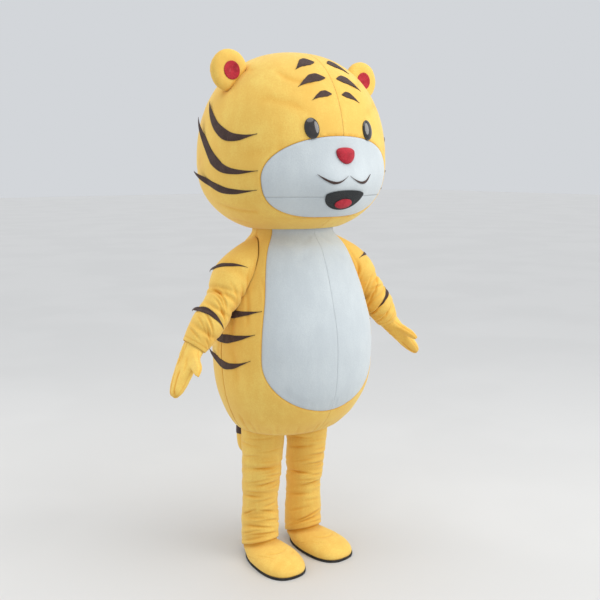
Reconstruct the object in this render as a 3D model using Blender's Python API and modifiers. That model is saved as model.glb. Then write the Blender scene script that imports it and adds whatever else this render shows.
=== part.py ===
"""Tiger costume, worn: foam-backed head, round body, sleeves, mitts, leg tubes, shoes and tail.

The wearer faces -Y, with the left arm at +X. Sizes are metres, and heights in the tables are above
the floor. The origin is where the wearer's shoulders carry the suit, so an empty lowers every
piece by that height. Each cloth piece is a wall: a grid block laid on a smooth skin, with its
outer face on the skin and its inner face one thickness deeper.
"""

from math import asin, atan2, copysign, cos, exp, floor, hypot, pi, radians, sin

import bmesh
import bpy
from mathutils import Matrix, Vector

SHOULDER_HEIGHT = 1.29
SEAM_GAP = 0.0003
APPLIQUE_GAP = 0.0007
RIDGE_GAP = 0.0003
MUZZLE_GAP = 0.0021

# Wall thicknesses: plush on foam for the head and body, lined plush for the limbs
HEAD_WALL = 0.012
BODY_WALL = 0.007
LIMB_WALL = 0.003
FELT = 0.0016

# Head: half sizes of a squared ellipsoid about its widest height
HEAD_HALF_WIDTH = 0.3735
HEAD_HALF_DEPTH = 0.300
HEAD_CENTRE = 1.555
HEAD_UP = 0.395
HEAD_DOWN = 0.260
HEAD_SQUARE = 2.25
NECK_RISE = radians(-65.7)
HEAD_COLUMNS = 12
HEAD_CROWN_ROWS = 7

# Swellings of the snout: (x, height, half width, half height, how far it stands out)
SNOUT_SWELLS = (
    (0.000, 1.465, 0.190, 0.100, 0.026),
    (0.062, 1.478, 0.062, 0.052, 0.016),
    (-0.062, 1.478, 0.062, 0.052, 0.016),
    (0.000, 1.395, 0.075, 0.032, 0.008),
)

# White muzzle patch, as rise angles from the head's centre and a half angle round it
MUZZLE_RISE = radians(-17)
MUZZLE_HALF_RISE = radians(28)
MUZZLE_HALF_TURN = radians(49)
MUZZLE_SQUARE = 2.3
MOUTH_SEAM_RISE = radians(-24)
MUZZLE_INSET = 0.0018
MUZZLE_COLUMNS = 10

# Body sections: (height, half width, half depth, how far the centre lies back)
BODY_SECTIONS = (
    (0.545, 0.2060, 0.176, 0.034),
    (0.570, 0.2330, 0.199, 0.028),
    (0.620, 0.2680, 0.229, 0.014),
    (0.718, 0.3090, 0.262, 0.000),
    (0.854, 0.3230, 0.275, 0.000),
    (0.957, 0.3155, 0.268, 0.000),
    (1.036, 0.2955, 0.250, 0.000),
    (1.113, 0.2700, 0.228, 0.000),
    (1.190, 0.2380, 0.203, 0.000),
    (1.250, 0.2050, 0.174, 0.000),
    (1.300, 0.1655, 0.1324, 0.000),
    (1.335, 0.1655, 0.1324, 0.000),
)
BODY_BOTTOM = 0.545
FRONT_COLUMNS = 5
BACK_COLUMNS = 6
COLLAR_TOP = 1.335

# White belly panel: rounded below, then nearly straight up to the neck
BELLY_BOTTOM = 0.655
BELLY_ROUND = 0.205
BELLY_HALF_TURN = radians(53)
BELLY_NECK_TURN = radians(60)
BELLY_INSET = 0.0004
SEAM_TURN = SEAM_GAP / 2 / 0.27

# Armhole: an oval on the body's side
ARMHOLE_CENTRE = 1.205
ARMHOLE_HALF_HEIGHT = 0.085
ARMHOLE_HALF_TURN = radians(22)

# Sleeve stations: (share of the way down, x, y, height, radius)
SLEEVE_STATIONS = (
    (0.00, 0.205, 0.000, 1.205, 0.082),
    (0.22, 0.284, -0.018, 1.148, 0.074),
    (0.50, 0.347, -0.038, 1.060, 0.060),
    (0.76, 0.407, -0.040, 0.985, 0.059),
    (1.00, 0.455, -0.037, 0.920, 0.046),
)
SLEEVE_COLUMNS = 14
SLEEVE_ROWS = 18

# Largest folds of the sleeve: (share of the way down, depth, half width, lean, side it is deepest on)
SLEEVE_FOLDS = (
    (0.20, 0.004, 0.035, 0.02, 60),
    (0.38, 0.007, 0.022, 0.02, 20),
    (0.47, 0.009, 0.022, -0.03, 50),
    (0.56, 0.006, 0.020, 0.03, 70),
    (0.68, 0.005, 0.024, -0.04, 40),
    (0.80, 0.006, 0.024, 0.03, 80),
    (0.52, 0.010, 0.030, 0.00, 180),
    (0.36, 0.006, 0.030, 0.02, 200),
)

# Leg stations: (height, how far back, radius); both legs stand LEG_SPREAD from the middle
LEG_SPREAD = 0.108
LEG_STATIONS = (
    (0.026, 0.078, 0.0755),
    (0.130, 0.078, 0.0755),
    (0.180, 0.078, 0.0745),
    (0.235, 0.076, 0.0715),
    (0.320, 0.068, 0.0780),
    (0.420, 0.058, 0.0810),
    (0.500, 0.053, 0.0850),
    (0.565, 0.052, 0.0870),
)
LEG_TOP = 0.565
LEG_HEM_FRONT = 0.080
LEG_HEM_BACK = 0.026
LEG_COLUMNS = 14

# Largest folds of each leg: (share of the way down, depth, half width, lean, side it is deepest on)
LEG_FOLDS = {
    "left": (
        (0.186, 0.0040, 0.024, 0.014, -60),
        (0.272, 0.0040, 0.024, -0.012, -50),
        (0.359, 0.0040, 0.022, 0.012, 10),
        (0.440, 0.0050, 0.022, 0.012, 0),
        (0.505, 0.0080, 0.024, -0.016, -45),
        (0.612, 0.0070, 0.024, 0.012, -10),
        (0.699, 0.0040, 0.024, -0.010, -50),
        (0.907, 0.0050, 0.024, 0.020, -10),
        (0.470, 0.0070, 0.030, 0.016, 180),
        (0.740, 0.0060, 0.030, -0.016, 160),
    ),
    "right": (
        (0.268, 0.0040, 0.024, 0.012, 60),
        (0.371, 0.0080, 0.024, -0.012, 25),
        (0.498, 0.0060, 0.024, 0.012, 10),
        (0.600, 0.0050, 0.024, -0.012, 56),
        (0.745, 0.0070, 0.026, 0.018, 38),
        (0.866, 0.0050, 0.024, -0.024, 40),
        (0.945, 0.0045, 0.022, 0.012, 30),
        (0.440, 0.0070, 0.030, 0.016, 180),
        (0.690, 0.0060, 0.030, -0.016, 200),
    ),
}

# Base panel under the body, with a hole for each leg
BASE_THICKNESS = 0.006
LEG_HOLE_GAP = 0.0005

# Shoe: sole outline about the ankle, pointing -Y before it turns out
TOE_OUT = radians(3)
TOE_REACH = 0.258
HEEL_REACH = 0.040
BALL_HALF_WIDTH = 0.097
HEEL_HALF_WIDTH = 0.082
SOLE_SIDE_POWER = 0.77
SOLE_END_POWER = 0.88
SOLE_THICKNESS = 0.009
SOLE_LIP = 0.0025
SHOE_UNDER_HEM = 0.014
SHOE_HEEL_RIM = 0.024
SHOE_COLLAR_RADIUS = 0.0670
SHOE_COLLAR_TOP = 0.152
SHOE_COLUMNS = 20
SHOE_ROWS = 7
SHOE_WALL = 0.005

# Mitt sections: (distance from the sleeve's hem, half width, half thickness)
MITT_SECTIONS = (
    (-0.032, 0.0412, 0.0412),
    (0.000, 0.0410, 0.0410),
    (0.030, 0.0420, 0.0360),
    (0.062, 0.0430, 0.0310),
    (0.095, 0.0420, 0.0290),
    (0.135, 0.0390, 0.0270),
    (0.170, 0.0320, 0.0230),
    (0.195, 0.0190, 0.0150),
    (0.205, 0.0000, 0.0000),
)
MITT_TIP = (0.577, -0.110, 0.766)
MITT_COLUMNS = 12
THUMB_STEPS = ((0.026, 0.82), (0.028, 0.95), (0.018, 0.72))
MITT_WALL = 0.0028

# Ears: a padded disc with a dished front, on each upper corner of the head
EAR_X = 0.296
EAR_Y = -0.034
EAR_HEIGHT = 1.866
EAR_RADIUS = 0.072
EAR_HALF_THICKNESS = 0.028
EAR_DISH = 0.013
EAR_CLEARANCE = 0.0002
EAR_COLUMNS = 18
EAR_RINGS = 12

# Tail: (share of the way down, x, y, height); a stuffed tube
TAIL_STATIONS = (
    (0.00, 0.000, 0.236, 0.655),
    (0.28, -0.004, 0.290, 0.585),
    (0.52, -0.014, 0.313, 0.500),
    (0.76, -0.022, 0.312, 0.420),
    (1.00, -0.022, 0.300, 0.338),
)
TAIL_RADIUS = 0.040
TAIL_COLUMNS = 12
TAIL_ROWS = 16

# Back zip, a narrow tape over the centre-back seam
ZIP_BOTTOM = 0.720
ZIP_TOP = 1.292
ZIP_HALF_WIDTH = 0.005
ZIP_THICKNESS = 0.002

PAINTS = {
    "yellow_plush": ((0.93, 0.56, 0.07), 0.9),
    "white_plush": ((0.74, 0.78, 0.82), 0.9),
    "brown_felt": ((0.075, 0.045, 0.038), 0.9),
    "red_felt": ((0.50, 0.035, 0.045), 0.85),
    "black_mesh": ((0.012, 0.014, 0.016), 0.7),
    "eye_black": ((0.015, 0.012, 0.011), 0.25),
    "zip_tape": ((0.80, 0.46, 0.06), 0.6),
    "sole_black": ((0.018, 0.018, 0.018), 0.6),
}


def clear_scene():
    for old in list(bpy.data.objects):
        bpy.data.objects.remove(old)


def make_paints():
    made = {}
    for name, (colour, roughness) in PAINTS.items():
        material = bpy.data.materials.new(name)
        material.use_nodes = True
        shader = material.node_tree.nodes["Principled BSDF"]
        shader.inputs["Base Color"].default_value = (*colour, 1)
        shader.inputs["Roughness"].default_value = roughness
        made[name] = material
    return made


def power(value, exponent):
    return copysign(abs(value) ** exponent, value)


def smooth_step(share):
    share = min(1.0, max(0.0, share))
    return share * share * (3 - 2 * share)


def at_station(rows, station):
    """Every column of a table, at a station between its rows, on a smooth curve."""
    last = len(rows) - 1
    row = max(k for k in range(last) if k == 0 or rows[k][0] <= station)
    span = rows[row + 1][0] - rows[row][0]
    t = (station - rows[row][0]) / span
    found = []
    for column in range(1, len(rows[0])):
        slopes = []
        for k in (row, row + 1):
            before, after = max(k - 1, 0), min(k + 1, last)
            rise = rows[after][column] - rows[before][column]
            slopes.append(rise / (rows[after][0] - rows[before][0]) * span)
        low, high = rows[row][column], rows[row + 1][column]
        found.append(
            (2 * t**3 - 3 * t**2 + 1) * low
            + (t**3 - 2 * t**2 + t) * slopes[0]
            + (3 * t**2 - 2 * t**3) * high
            + (t**3 - t**2) * slopes[1]
        )
    return found


def lifted(skin, a, b, out):
    """The skin's point at (a, b), moved out along the skin's normal."""
    step = 0.001
    along_a = skin(a + step, b) - skin(a - step, b)
    along_b = skin(a, b + step) - skin(a, b - step)
    return skin(a, b) + along_a.cross(along_b).normalized() * out


def as_built(on_skin, columns, stations, edges):
    """A skin as its panel has it, flat between the points of the panel's grid."""

    def on_facets(a, b, out):
        row = max(k for k in range(len(stations) - 1) if k == 0 or stations[k] <= b)
        ends = []
        for station in stations[row:row + 2]:
            first, last = edges(station)
            cell = (last - first) / columns
            column = floor((a - first) / cell)
            near = on_skin(first + column * cell, station, out)
            far = on_skin(first + (column + 1) * cell, station, out)
            ends.append(near.lerp(far, (a - first) / cell - column))
        return ends[0].lerp(ends[1], (b - stations[row]) / (stations[row + 1] - stations[row]))

    return on_facets


# The skins


def head_ring(height):
    """Size of the head's ring at a height, as a share of its widest, and the rise angle there."""
    reach = HEAD_UP if height > HEAD_CENTRE else HEAD_DOWN
    share = min(1.0, abs(height - HEAD_CENTRE) / reach)
    rise = copysign(asin(share ** (HEAD_SQUARE / 2)), height - HEAD_CENTRE)
    return (1 - share**HEAD_SQUARE) ** (1 / HEAD_SQUARE), rise


def head_skin(turn, rise):
    """The head's outer face. turn is from the front towards +X, and rise is from its widest ring."""
    ring = abs(cos(rise)) ** (2 / HEAD_SQUARE)
    if rise > pi / 2:
        ring = -ring
    reach = HEAD_UP if rise > 0 else HEAD_DOWN
    x = HEAD_HALF_WIDTH * ring * sin(turn)
    y = -HEAD_HALF_DEPTH * ring * cos(turn)
    z = HEAD_CENTRE + reach * power(sin(rise), 2 / HEAD_SQUARE)
    if cos(turn) > 0:
        for at_x, at_z, half_width, half_height, stand in SNOUT_SWELLS:
            far = ((x - at_x) / half_width) ** 2 + ((z - at_z) / half_height) ** 2
            y -= stand * exp(-far) * smooth_step(cos(turn) * 2)
    return Vector((x, y, z))


def on_head(turn, rise, out):
    if rise > radians(89.9):
        return Vector((0, 0, HEAD_CENTRE + HEAD_UP + out))
    return lifted(head_skin, turn, rise, out)


def muzzle_half_turn(rise, inset=0.0):
    """Half angle of the white muzzle at a rise, or 0 above and below it."""
    share = abs(rise - MUZZLE_RISE) / (MUZZLE_HALF_RISE - inset)
    if share >= 1:
        return 0.0
    return max(0.0, MUZZLE_HALF_TURN * (1 - share**MUZZLE_SQUARE) ** (1 / MUZZLE_SQUARE) - inset)


def muzzle_rises(inset=0.0):
    """Rows of the muzzle, closer together towards its rounded top and bottom."""
    half = MUZZLE_HALF_RISE - inset
    below = [MUZZLE_RISE - half * cos(pi / 2 * k / 4) for k in range(4)]
    above = [MUZZLE_RISE + half * sin(pi / 2 * k / 5) for k in range(1, 6)]
    middle = [radians(-31), MOUTH_SEAM_RISE, MUZZLE_RISE]
    return sorted(below[:3] + middle + above)


def head_edges(rise):
    """A head half's turns, from the muzzle or the centre front round to the centre back."""
    return muzzle_half_turn(rise), pi


def muzzle_edges(rise):
    half = muzzle_half_turn(rise, MUZZLE_INSET)
    return -half, half


def head_rises():
    top = MUZZLE_RISE + MUZZLE_HALF_RISE
    crown = [top + (pi / 2 - top) * k / HEAD_CROWN_ROWS for k in range(1, HEAD_CROWN_ROWS + 1)]
    return [NECK_RISE, radians(-55)] + muzzle_rises() + crown


def muzzle_as_built(turn, rise, out):
    return as_built(on_head, MUZZLE_COLUMNS, muzzle_rises(MUZZLE_INSET), muzzle_edges)(turn, rise, out)


def face_angles(x, height):
    """Turn and rise of a point of the head's front, from its place in the front view."""
    ring, rise = head_ring(height)
    return asin(max(-1.0, min(1.0, x / (HEAD_HALF_WIDTH * ring)))), rise


def on_face(x, height, out):
    return on_head(*face_angles(x, height), out)


def on_muzzle(x, height, out):
    """As on_face, but on the flats of the muzzle, whose hollows the smooth skin would run into."""
    return muzzle_as_built(*face_angles(x, height), out)


def clear_of_head(point, clearance):
    """The point, or if it lies in the head, the nearest way out from the head's centre."""
    x, y, z = point.x, point.y, point.z - HEAD_CENTRE
    reach = HEAD_UP if z > 0 else HEAD_DOWN
    flat = hypot(x / HEAD_HALF_WIDTH, y / HEAD_HALF_DEPTH)
    depth = (flat**HEAD_SQUARE + abs(z / reach) ** HEAD_SQUARE) ** (1 / HEAD_SQUARE)
    wanted = 1 + clearance / HEAD_HALF_DEPTH
    if depth >= wanted:
        return point
    grow = wanted / depth
    return Vector((x * grow, y * grow, HEAD_CENTRE + z * grow))


def body_skin(turn, height):
    half_width, half_depth, back = at_station(BODY_SECTIONS, height)
    return Vector((half_width * sin(turn), back - half_depth * cos(turn), height))


def on_body(turn, height, out):
    return lifted(body_skin, turn, height, out)


def clear_of_body(point, clearance):
    """The point, or if it lies in the body, the way straight out from the body's axis."""
    height = min(COLLAR_TOP, max(BODY_BOTTOM, point.z))
    half_width, half_depth, back = at_station(BODY_SECTIONS, height)
    depth = hypot(point.x / half_width, (point.y - back) / half_depth)
    wanted = 1 + clearance / half_depth
    if depth >= wanted:
        return point
    grow = wanted / depth
    return Vector((point.x * grow, back + (point.y - back) * grow, point.z))


def fold_depth(folds, station, turn):
    """How far the folds pull the cloth in at a station of a tube, on one side of it."""
    pulled = 0.0
    for at, depth, half_width, lean, side in folds:
        toward = cos(turn - radians(side))
        off = (station - at - lean * toward) / half_width
        pulled += depth * exp(-off * off) * (0.5 + 0.5 * toward)
    return pulled


def tube_frame(stations, share, front=Vector((0, -1, 0))):
    """Centre, tangent, front and outer directions of a tube at a share of the way along it."""
    here = Vector(at_station(stations, share)[:3])
    before = Vector(at_station(stations, max(0.0, share - 0.01))[:3])
    after = Vector(at_station(stations, min(1.0, share + 0.01))[:3])
    tangent = (after - before).normalized()
    front = (front - tangent * front.dot(tangent)).normalized()
    return here, tangent, front, front.cross(tangent)


def armhole_edge(turn, inset):
    """The armhole's oval on the body: turn 0 is its top, a quarter turn is its front."""
    height = ARMHOLE_CENTRE + (ARMHOLE_HALF_HEIGHT - inset) * cos(turn)
    half_turn = ARMHOLE_HALF_TURN - inset / BODY_SECTIONS[7][1]
    return body_skin(pi / 2 - half_turn * sin(turn), height)


def sleeve_skin(turn, share, out=0.0):
    """The left sleeve, moved out. turn 0 is its outer side and a quarter turn its front."""
    centre, _, front, outer = tube_frame(SLEEVE_STATIONS, share)
    radius = at_station(SLEEVE_STATIONS, share)[3] - fold_depth(SLEEVE_FOLDS, share, turn) + out
    round_point = centre + radius * (cos(turn) * outer + sin(turn) * front)
    start = armhole_edge(turn, 0.0008 - min(0.0, out))
    point = start.lerp(round_point, smooth_step(share / 0.22))
    return clear_of_body(point, (0.003 - 0.4 * out) * smooth_step(share / 0.1))


def leg_hem(turn):
    """Height of a leg's hem, which rides up over the instep and falls at the heel."""
    return (LEG_HEM_FRONT + LEG_HEM_BACK) / 2 + (LEG_HEM_FRONT - LEG_HEM_BACK) / 2 * cos(turn)


def leg_skin(turn, fall, folds, out=0.0):
    """A leg, drawn on the left. turn 0 is its front, and fall runs from its top to its slanting hem."""
    height = LEG_TOP + (leg_hem(turn) - LEG_TOP) * fall
    back, radius = at_station(LEG_STATIONS, height)
    radius += out - fold_depth(folds, fall, turn)
    return Vector((LEG_SPREAD + radius * sin(turn), back - radius * cos(turn), height))


def leg_rows(folds):
    """Rows of a leg: one along each fold of its front, and one between each two."""
    creases = [0.0] + sorted(fold[0] for fold in folds if abs(fold[4]) < 90) + [1.0]
    rows = []
    for above, below in zip(creases, creases[1:]):
        rows += [above, (above + below) / 2]
    return rows + [1.0]


def tail_skin(turn, share, out=0.0):
    centre, _, across, outer = tube_frame(TAIL_STATIONS, share, Vector((1, 0, 0)))
    radius = TAIL_RADIUS * (1 - abs(2 * share - 1) ** 9) ** 0.5 + out
    return centre + radius * (cos(turn) * outer + sin(turn) * across)


# Tools that turn a skin into pieces


def add_piece(name, mesh, paint, root):
    bmesh.ops.recalc_face_normals(mesh, faces=mesh.faces)
    if mesh.calc_volume(signed=True) < 0:
        bmesh.ops.reverse_faces(mesh, faces=mesh.faces)
    data = bpy.data.meshes.new(name)
    mesh.to_mesh(data)
    mesh.free()
    data.materials.append(paint)
    data.shade_smooth()
    data.set_sharp_from_angle(angle=radians(50))
    piece = bpy.data.objects.new(name, data)
    root.users_collection[0].objects.link(piece)
    piece.parent = root
    return piece


def end_faces(mesh, axis, ends):
    """The faces of a unit block that lie flat on its ends along an axis."""
    return [
        face
        for face in mesh.faces
        if any(all(abs(v.co[axis] - end) < 1e-6 for v in face.verts) for end in ends)
    ]


def wall(name, paint, root, columns, rows, place, wraps=False, closed_ends=()):
    """A grid block of columns by rows cells, laid in space by place(u, v, inner).

    u and v run from 0 to 1, and inner is true on the wall's inner face. A wrapped wall is a tube,
    and a closed end is one whose points place() brings together.
    """
    mesh = bmesh.new()
    bmesh.ops.create_grid(mesh, x_segments=columns, y_segments=rows, size=0.5)
    made = bmesh.ops.extrude_face_region(mesh, geom=mesh.faces[:])["geom"]
    inner = [item for item in made if isinstance(item, bmesh.types.BMVert)]
    bmesh.ops.translate(mesh, verts=inner, vec=(0, 0, 1))
    ends = end_faces(mesh, 0, (-0.5, 0.5)) if wraps else []
    ends += end_faces(mesh, 1, [end - 0.5 for end in closed_ends])
    bmesh.ops.delete(mesh, geom=ends, context="FACES_ONLY")
    for vert in mesh.verts:
        vert.co = place(vert.co.x + 0.5, vert.co.y + 0.5, vert.co.z > 0.5)
    bmesh.ops.remove_doubles(mesh, verts=mesh.verts, dist=1e-6)
    loose = [edge for edge in mesh.edges if not edge.link_faces]
    bmesh.ops.delete(mesh, geom=loose, context="EDGES")
    return add_piece(name, mesh, paint, root)


def panel(name, paint, root, columns, stations, edges, on_skin, thickness, side=1, seam=True):
    """A panel between two edges, which edges(station) gives, with a row at each station."""
    rows = len(stations) - 1
    shift = SEAM_GAP / 2 if seam else 0

    def place(u, v, inner):
        station = stations[round(v * rows)]
        first, last = edges(station)
        point = on_skin(first + (last - first) * u, station, -thickness if inner else 0)
        return Vector((side * (point.x + shift), point.y, point.z))

    return wall(name, paint, root, columns, rows, place)


def stripe_width(share):
    """Width of a stripe along its length, as a share of its widest: a fine tip at each end."""
    return sin(pi * share**1.4) ** 0.85


def stripe(
    name, paint, root, on_skin, start, end, width, bow,
    lift=0.0, side=1, cells=(9, 1), gap=APPLIQUE_GAP,
):
    """A felt stripe between two places on a skin. It bows to one side, and its end lifts free."""

    def place(u, v, inner):
        across = (v - 0.5) * width * max(stripe_width(u), 0.04)
        a = start[0] + (end[0] - start[0]) * u
        b = start[1] + (end[1] - start[1]) * u + bow * sin(pi * u) + across
        free = lift * smooth_step((u - 0.72) / 0.28)
        point = on_skin(a, b, gap + free + (0 if inner else FELT))
        return Vector((side * point.x, point.y, point.z))

    return wall(name, paint, root, cells[0], cells[1], place)


def patch(
    name, paint, root, on_skin, outline, middle, thickness, dome,
    side=1, cells=(18, 3), gap=APPLIQUE_GAP,
):
    """A felt or domed patch on the face. outline(turn) is its edge in the front view."""

    def place(u, v, inner):
        x, z = outline(u * 2 * pi)
        at_x, at_z = middle[0] + x * v, middle[1] + z * v
        out = gap if inner else gap + thickness + dome * (1 - v * v) ** 0.6
        point = on_skin(at_x, at_z, out)
        return Vector((side * point.x, point.y, point.z))

    return wall(name, paint, root, cells[0], cells[1], place, wraps=True, closed_ends=(0,))


def oval(half_width, half_height, square=2.0):
    def outline(turn):
        return half_width * power(sin(turn), 2 / square), half_height * power(cos(turn), 2 / square)

    return outline


# The head


def build_head(root, paints):
    for side, hand in ((1, "left"), (-1, "right")):
        panel(
            f"head_{hand}", paints["yellow_plush"], root, HEAD_COLUMNS, head_rises(),
            head_edges, on_head, HEAD_WALL, side,
        )
    rows = muzzle_rises(MUZZLE_INSET)
    seam_row = rows.index(MOUTH_SEAM_RISE)
    gap = SEAM_GAP / HEAD_DOWN
    chin_rows = rows[:seam_row] + [MOUTH_SEAM_RISE - gap]
    upper_rows = [MOUTH_SEAM_RISE + gap] + rows[seam_row + 1:]
    for name, stations in (("muzzle_chin", chin_rows), ("muzzle_upper", upper_rows)):
        panel(
            name, paints["white_plush"], root, MUZZLE_COLUMNS, stations,
            muzzle_edges, on_head, HEAD_WALL, seam=False,
        )


def ear_point(turn, polar, out):
    """The ear about its own middle. polar 0 is the middle of its front, and pi that of its back."""
    flat = sin(polar) ** 1.2
    depth = EAR_HALF_THICKNESS * power(cos(polar), 0.8) + out
    if polar < pi / 2:
        depth -= EAR_DISH * exp(-((flat / 0.5) ** 2))
    x = EAR_X + EAR_RADIUS * flat * cos(turn)
    z = EAR_HEIGHT + EAR_RADIUS * flat * sin(turn)
    return Vector((x, EAR_Y - depth, z))


def build_ears(root, paints):
    for side, hand in ((1, "left"), (-1, "right")):
        mesh = bmesh.new()
        bmesh.ops.create_uvsphere(mesh, u_segments=EAR_COLUMNS, v_segments=EAR_RINGS, radius=1)
        for vert in mesh.verts:
            polar = atan2(hypot(vert.co.x, vert.co.y), vert.co.z)
            point = ear_point(atan2(vert.co.y, vert.co.x), polar, 0)
            point = clear_of_head(point, EAR_CLEARANCE)
            vert.co = (side * point.x, point.y, point.z)
        add_piece(f"ear_{hand}", mesh, paints["yellow_plush"], root)

        def place(u, v, inner, side=side):
            out = APPLIQUE_GAP + (0 if inner else FELT)
            point = clear_of_head(ear_point(u * 2 * pi, v * 2 * pi / EAR_RINGS, out), out + EAR_CLEARANCE)
            return Vector((side * point.x, point.y, point.z))

        wall(
            f"inner_ear_{hand}", paints["red_felt"], root, EAR_COLUMNS, 2, place,
            wraps=True, closed_ends=(0,),
        )


EYE = {"x": 0.122, "height": 1.668, "half_width": 0.026, "half_height": 0.035}
NOSE = {"height": 1.578, "half_width": 0.044, "half_height": 0.028}
MOUTH = {"height": 1.447, "half_width": 0.082, "half_height": 0.052}
TONGUE = {"height": 1.418, "half_width": 0.036, "half_height": 0.016}


def nose_outline(turn):
    """A rounded triangle, wide at the top."""
    x, z = oval(NOSE["half_width"], NOSE["half_height"], 2.4)(turn)
    return x * (1 + 0.32 * cos(turn)) * 0.85, z


def mouth_outline(turn):
    """A half moon: nearly straight above, round below."""
    x, z = oval(MOUTH["half_width"], MOUTH["half_height"])(turn)
    return x, z * 0.3 if z > 0 else z


def build_face(root, paints):
    """A plain tiger face of eyes, nose, smile, forehead bars and side stripes."""
    for side, hand in ((1, "left"), (-1, "right")):
        patch(
            f"eye_{hand}", paints["eye_black"], root, on_face, oval(EYE["half_width"], EYE["half_height"]),
            (EYE["x"], EYE["height"]), 0.002, 0.009, side, cells=(16, 3),
        )
        stripe(
            f"lip_{hand}", paints["brown_felt"], root, on_muzzle,
            (0.0035, 1.5100), (0.118, 1.5160), 0.0085, -0.026, side=side, cells=(8, 1), gap=2 * APPLIQUE_GAP,
        )
    patch(
        "nose", paints["red_felt"], root, on_muzzle, nose_outline, (0, NOSE["height"]), 0.002, 0.013,
    )
    patch(
        "mouth", paints["black_mesh"], root, on_muzzle, mouth_outline, (0, MOUTH["height"]), FELT, 0.0,
        cells=(20, 4), gap=MUZZLE_GAP,
    )
    patch(
        "tongue", paints["red_felt"], root, on_muzzle, oval(TONGUE["half_width"], TONGUE["half_height"]),
        (0, TONGUE["height"]), 0.002, 0.003, cells=(14, 2), gap=MUZZLE_GAP + FELT + APPLIQUE_GAP,
    )


# Forehead bars on each side of the centre line: (name, inner x, height, outer x, height, width, bow, gap)
FOREHEAD_BARS = (
    ("top", 0.118, 1.868, 0.028, 1.900, 0.026, 0.012, APPLIQUE_GAP),
    ("middle", 0.138, 1.806, 0.024, 1.842, 0.028, 0.014, APPLIQUE_GAP),
    ("low", 0.104, 1.762, 0.022, 1.786, 0.022, 0.010, SEAM_GAP),
)

# Side stripes of the head: (name, front turn, rise, back turn, rise, width, bow, lift), in degrees
HEAD_STRIPES = (
    ("high", 50.5, 11.5, 97, 29, 5.6, -8.3, 0.004),
    ("middle", 50, -4.5, 103, 20, 6.2, -9.6, 0.016),
    ("low", 52, -18, 101, -4.5, 6.2, -6.7, 0.020),
)

# Body stripes on each flank: (name, front turn, height, back turn, height, width, bow, lift)
BODY_STRIPES = (
    ("high", 54.5, 1.038, 103, 1.012, 0.027, -0.006, 0.004),
    ("middle", 58, 0.956, 105, 0.926, 0.032, -0.011, 0.004),
    ("low", 61, 0.862, 109, 0.872, 0.030, -0.037, 0.012),
)

# Sleeve stripes: (name, front turn, share, back turn, share, width, bow, lift)
SLEEVE_STRIPES = (
    ("upper", 77.14, 0.170, -51.43, 0.245, 0.028, 0.015, 0.010),
    ("lower", 128.57, 0.695, -51.43, 0.690, 0.058, -0.045, 0.016),
)


def build_stripes(root, paints):
    felt = paints["brown_felt"]
    sleeve_rows = [k / SLEEVE_ROWS for k in range(SLEEVE_ROWS + 1)]
    on_sleeve = as_built(sleeve_skin, SLEEVE_COLUMNS, sleeve_rows, lambda share: (0, 2 * pi))

    def on_head_degrees(turn, rise, out):
        return on_head(radians(turn), radians(rise), out + RIDGE_GAP)

    def on_body_degrees(turn, height, out):
        return on_body(radians(turn), height, out)

    def on_sleeve_degrees(turn, share, out):
        return on_sleeve(radians(turn), share, out + 2 * RIDGE_GAP)

    for side, hand in ((1, "left"), (-1, "right")):
        for name, x0, z0, x1, z1, width, bow, gap in FOREHEAD_BARS:
            stripe(
                f"forehead_{name}_{hand}", felt, root, on_face,
                (x0, z0), (x1, z1), width, bow, side=side, gap=gap,
            )
        for name, a0, b0, a1, b1, width, bow, lift in HEAD_STRIPES:
            stripe(
                f"head_stripe_{name}_{hand}", felt, root, on_head_degrees,
                (a0, b0), (a1, b1), width, bow, lift, side, cells=(12, 2),
            )
        for name, a0, b0, a1, b1, width, bow, lift in BODY_STRIPES:
            stripe(
                f"body_stripe_{name}_{hand}", felt, root, on_body_degrees,
                (a0, b0), (a1, b1), width, bow, lift, side,
            )
        for name, a0, b0, a1, b1, width, bow, lift in SLEEVE_STRIPES:
            stripe(
                f"sleeve_stripe_{name}_{hand}", felt, root, on_sleeve_degrees,
                (a0, b0), (a1, b1), width, bow, lift, side, cells=(round((a0 - a1) * 28 / 360), 2),
            )


# The body


def belly_half_turn(height, inset=0.0):
    """Half angle of the white belly at a height, or 0 below it."""
    over = height - inset - BELLY_BOTTOM
    if over <= 0:
        return 0.0
    round_share = max(0.0, 1 - over / BELLY_ROUND)
    rounded = BELLY_HALF_TURN * (1 - round_share**2) ** 0.55
    flare = (BELLY_NECK_TURN - BELLY_HALF_TURN) * smooth_step((height - 1.05) / 0.25)
    return rounded + flare


def armhole_half_turn(height):
    share = abs(height - ARMHOLE_CENTRE) / ARMHOLE_HALF_HEIGHT
    return ARMHOLE_HALF_TURN * (1 - share * share) ** 0.5 if share < 1 else 0.0


def front_edges(height):
    return belly_half_turn(height), pi / 2 - armhole_half_turn(height) - SEAM_TURN


def back_edges(height):
    return pi / 2 + armhole_half_turn(height) + SEAM_TURN, pi


def belly_edges(height):
    return 0.0, max(0.0, belly_half_turn(height, BELLY_INSET) - 2 * SEAM_TURN)


def body_heights():
    """Rows of the body panels: through the belly's round end, then at the sleeve's own points."""
    low = [BODY_BOTTOM, 0.560, 0.585, 0.615]
    belly = [BELLY_BOTTOM, 0.662, 0.678, 0.705, 0.745, 0.790, 0.860, 0.930, 1.000, 1.060]
    armhole = [
        ARMHOLE_CENTRE - ARMHOLE_HALF_HEIGHT * cos(2 * pi * k / SLEEVE_COLUMNS)
        for k in range(SLEEVE_COLUMNS // 2 + 1)
    ]
    return low + belly + armhole + [1.310, COLLAR_TOP]


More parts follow.
